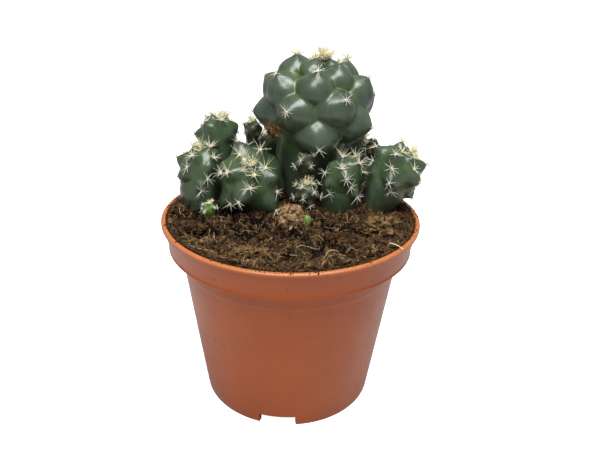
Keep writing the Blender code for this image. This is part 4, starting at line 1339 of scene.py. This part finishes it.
# %% Leaf scrap and straw
def build_leaf_scrap():
    """A dry leaf, curled along its length and crinkled across it: a strip whose middle line
    bends and whose edges roll up, given a thin wall by a closed skin over both faces."""
    low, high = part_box("leaf_scrap")
    middle = np.array((low + high) / 2.0)
    aim = ball_grid(40, 60)
    wide, thin, tall = 0.0036, 0.00035, 0.0038
    x, z = aim[..., 0] * wide, aim[..., 2] * tall
    ragged = 1.0 + 0.30 * rough_noise(aim, 0.5, 421, 3)
    x, z = x * ragged, z * ragged
    curl = 0.0016 * np.cos(x / wide * 2.4) + 0.0007 * np.sin(z / tall * 5.0)
    crinkle = 0.0006 * rough_noise(np.stack([x, x * 0.0, z], axis=-1), 0.0018, 422, 3)
    y = aim[..., 1] * thin + curl + crinkle - 0.001
    c, s = math.cos(math.radians(-25.0)), math.sin(math.radians(-25.0))
    grid = np.stack([c * x - s * y, s * x + c * y, z], axis=-1) + middle
    points, faces = closed_skin(grid)
    vein = 0.4 + 0.6 * np.abs(np.sin(x / wide * 9.0 + z / tall * 3.0))
    leaf = mesh_object("dry_leaf_scrap", points, faces, {
        "lift": on_skin(vein), "tint": on_skin(0.3 + 0.3 * ragged)})
    return settle(leaf, litter_finish, ["leaf_scrap"])


build_leaf_scrap()


def build_straw():
    """A short stalk over the lip: a bowed path whose radius swells at one joint."""
    low, high = (np.array(corner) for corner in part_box("straw"))
    start = np.array([low[0] - 0.0018, high[1] + 0.0012, high[2] - 0.0004])
    end = np.array([high[0], low[1], low[2] + 0.0004])
    along = np.linspace(0.0, 1.0, 14)
    path = start + (end - start) * along[:, None]
    path[:, 2] += 0.0005 * np.sin(math.pi * along)
    radii = 0.00026 * (1.0 + 0.25 * np.exp(-((along - 0.62) / 0.05) ** 2) - 0.35 * along)
    points, faces = strands(path[None], radii[None], 8)
    stalk = mesh_object("straw_stalk", points, faces, {
        "lift": np.ones(len(points)), "tint": np.ones(len(points))})
    return settle(stalk, straw_finish, ["straw"])


build_straw()


# %% Crumbs on the lip
def build_lip_crumbs():
    """Grit spilled on the lip, most of it near the soil, by the square of a random share."""
    dice = np.random.default_rng(431)
    count = 900
    angle = dice.uniform(0.0, math.tau, count)
    ring = np.stack([np.cos(angle), np.sin(angle), angle * 0.0], axis=-1)
    thrown = np.clip(0.5 + 1.2 * rough_noise(ring, 0.16, 431, 2), 0.05, 1.0)
    radius = LIP_INNER - 0.0006 + 0.0030 * thrown * dice.uniform(0.0, 1.0, count) ** 2.5
    size = 0.00014 + 0.00040 * dice.uniform(0.0, 1.0, count) ** 3
    places = np.stack([radius * np.cos(angle), radius * np.sin(angle),
                       POT_HEIGHT + size * 0.3], axis=-1)
    shape, faces = pebble(4, 6, 431)
    sizes = size[:, None] * dice.uniform(0.5, 1.3, (count, 3))
    points, faces = copies(shape, faces, random_turns(dice, count), sizes, places)
    tint = np.repeat(dice.uniform(0.0, 1.0, count), len(shape))
    # Painted light: each crumb's top gets a higher 'lift' and is painted paler than its underside.
    crumbs = mesh_object("lip_crumbs", points, faces, {
        "tint": tint, "lift": np.tile(0.5 + 0.3 * shape[:, 2], count)})
    return settle(crumbs, peat_finish)


build_lip_crumbs()


# %% A green shoot
def build_shoot():
    """A small green shoot beside the dried bud: a ball drawn out upwards, with soft ribs
    that follow the cosine of five turns round it."""
    low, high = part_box("dry_bud")
    middle = np.array([high[0] + 0.0012, (low[1] + high[1]) / 2.0 + 0.0016, low[2] + 0.0026])
    aim = ball_grid(40, 60)
    around = np.arctan2(aim[..., 1], aim[..., 0])
    swell = 1.0 + 0.09 * np.cos(5.0 * around) * np.hypot(aim[..., 0], aim[..., 1]) ** 2
    grid = aim * swell[..., None] * np.array([0.0021, 0.0020, 0.0034]) + middle
    points, faces = closed_skin(grid)
    tip = np.clip(aim[..., 2], 0.0, 1.0)
    shoot = mesh_object("green_shoot", points, faces, {
        "tip": on_skin(tip), "furrow": on_skin(0.4 - 0.4 * np.cos(5.0 * around)),
        "age": on_skin(tip * 0.0)})
    return settle(shoot, young_skin)


build_shoot()
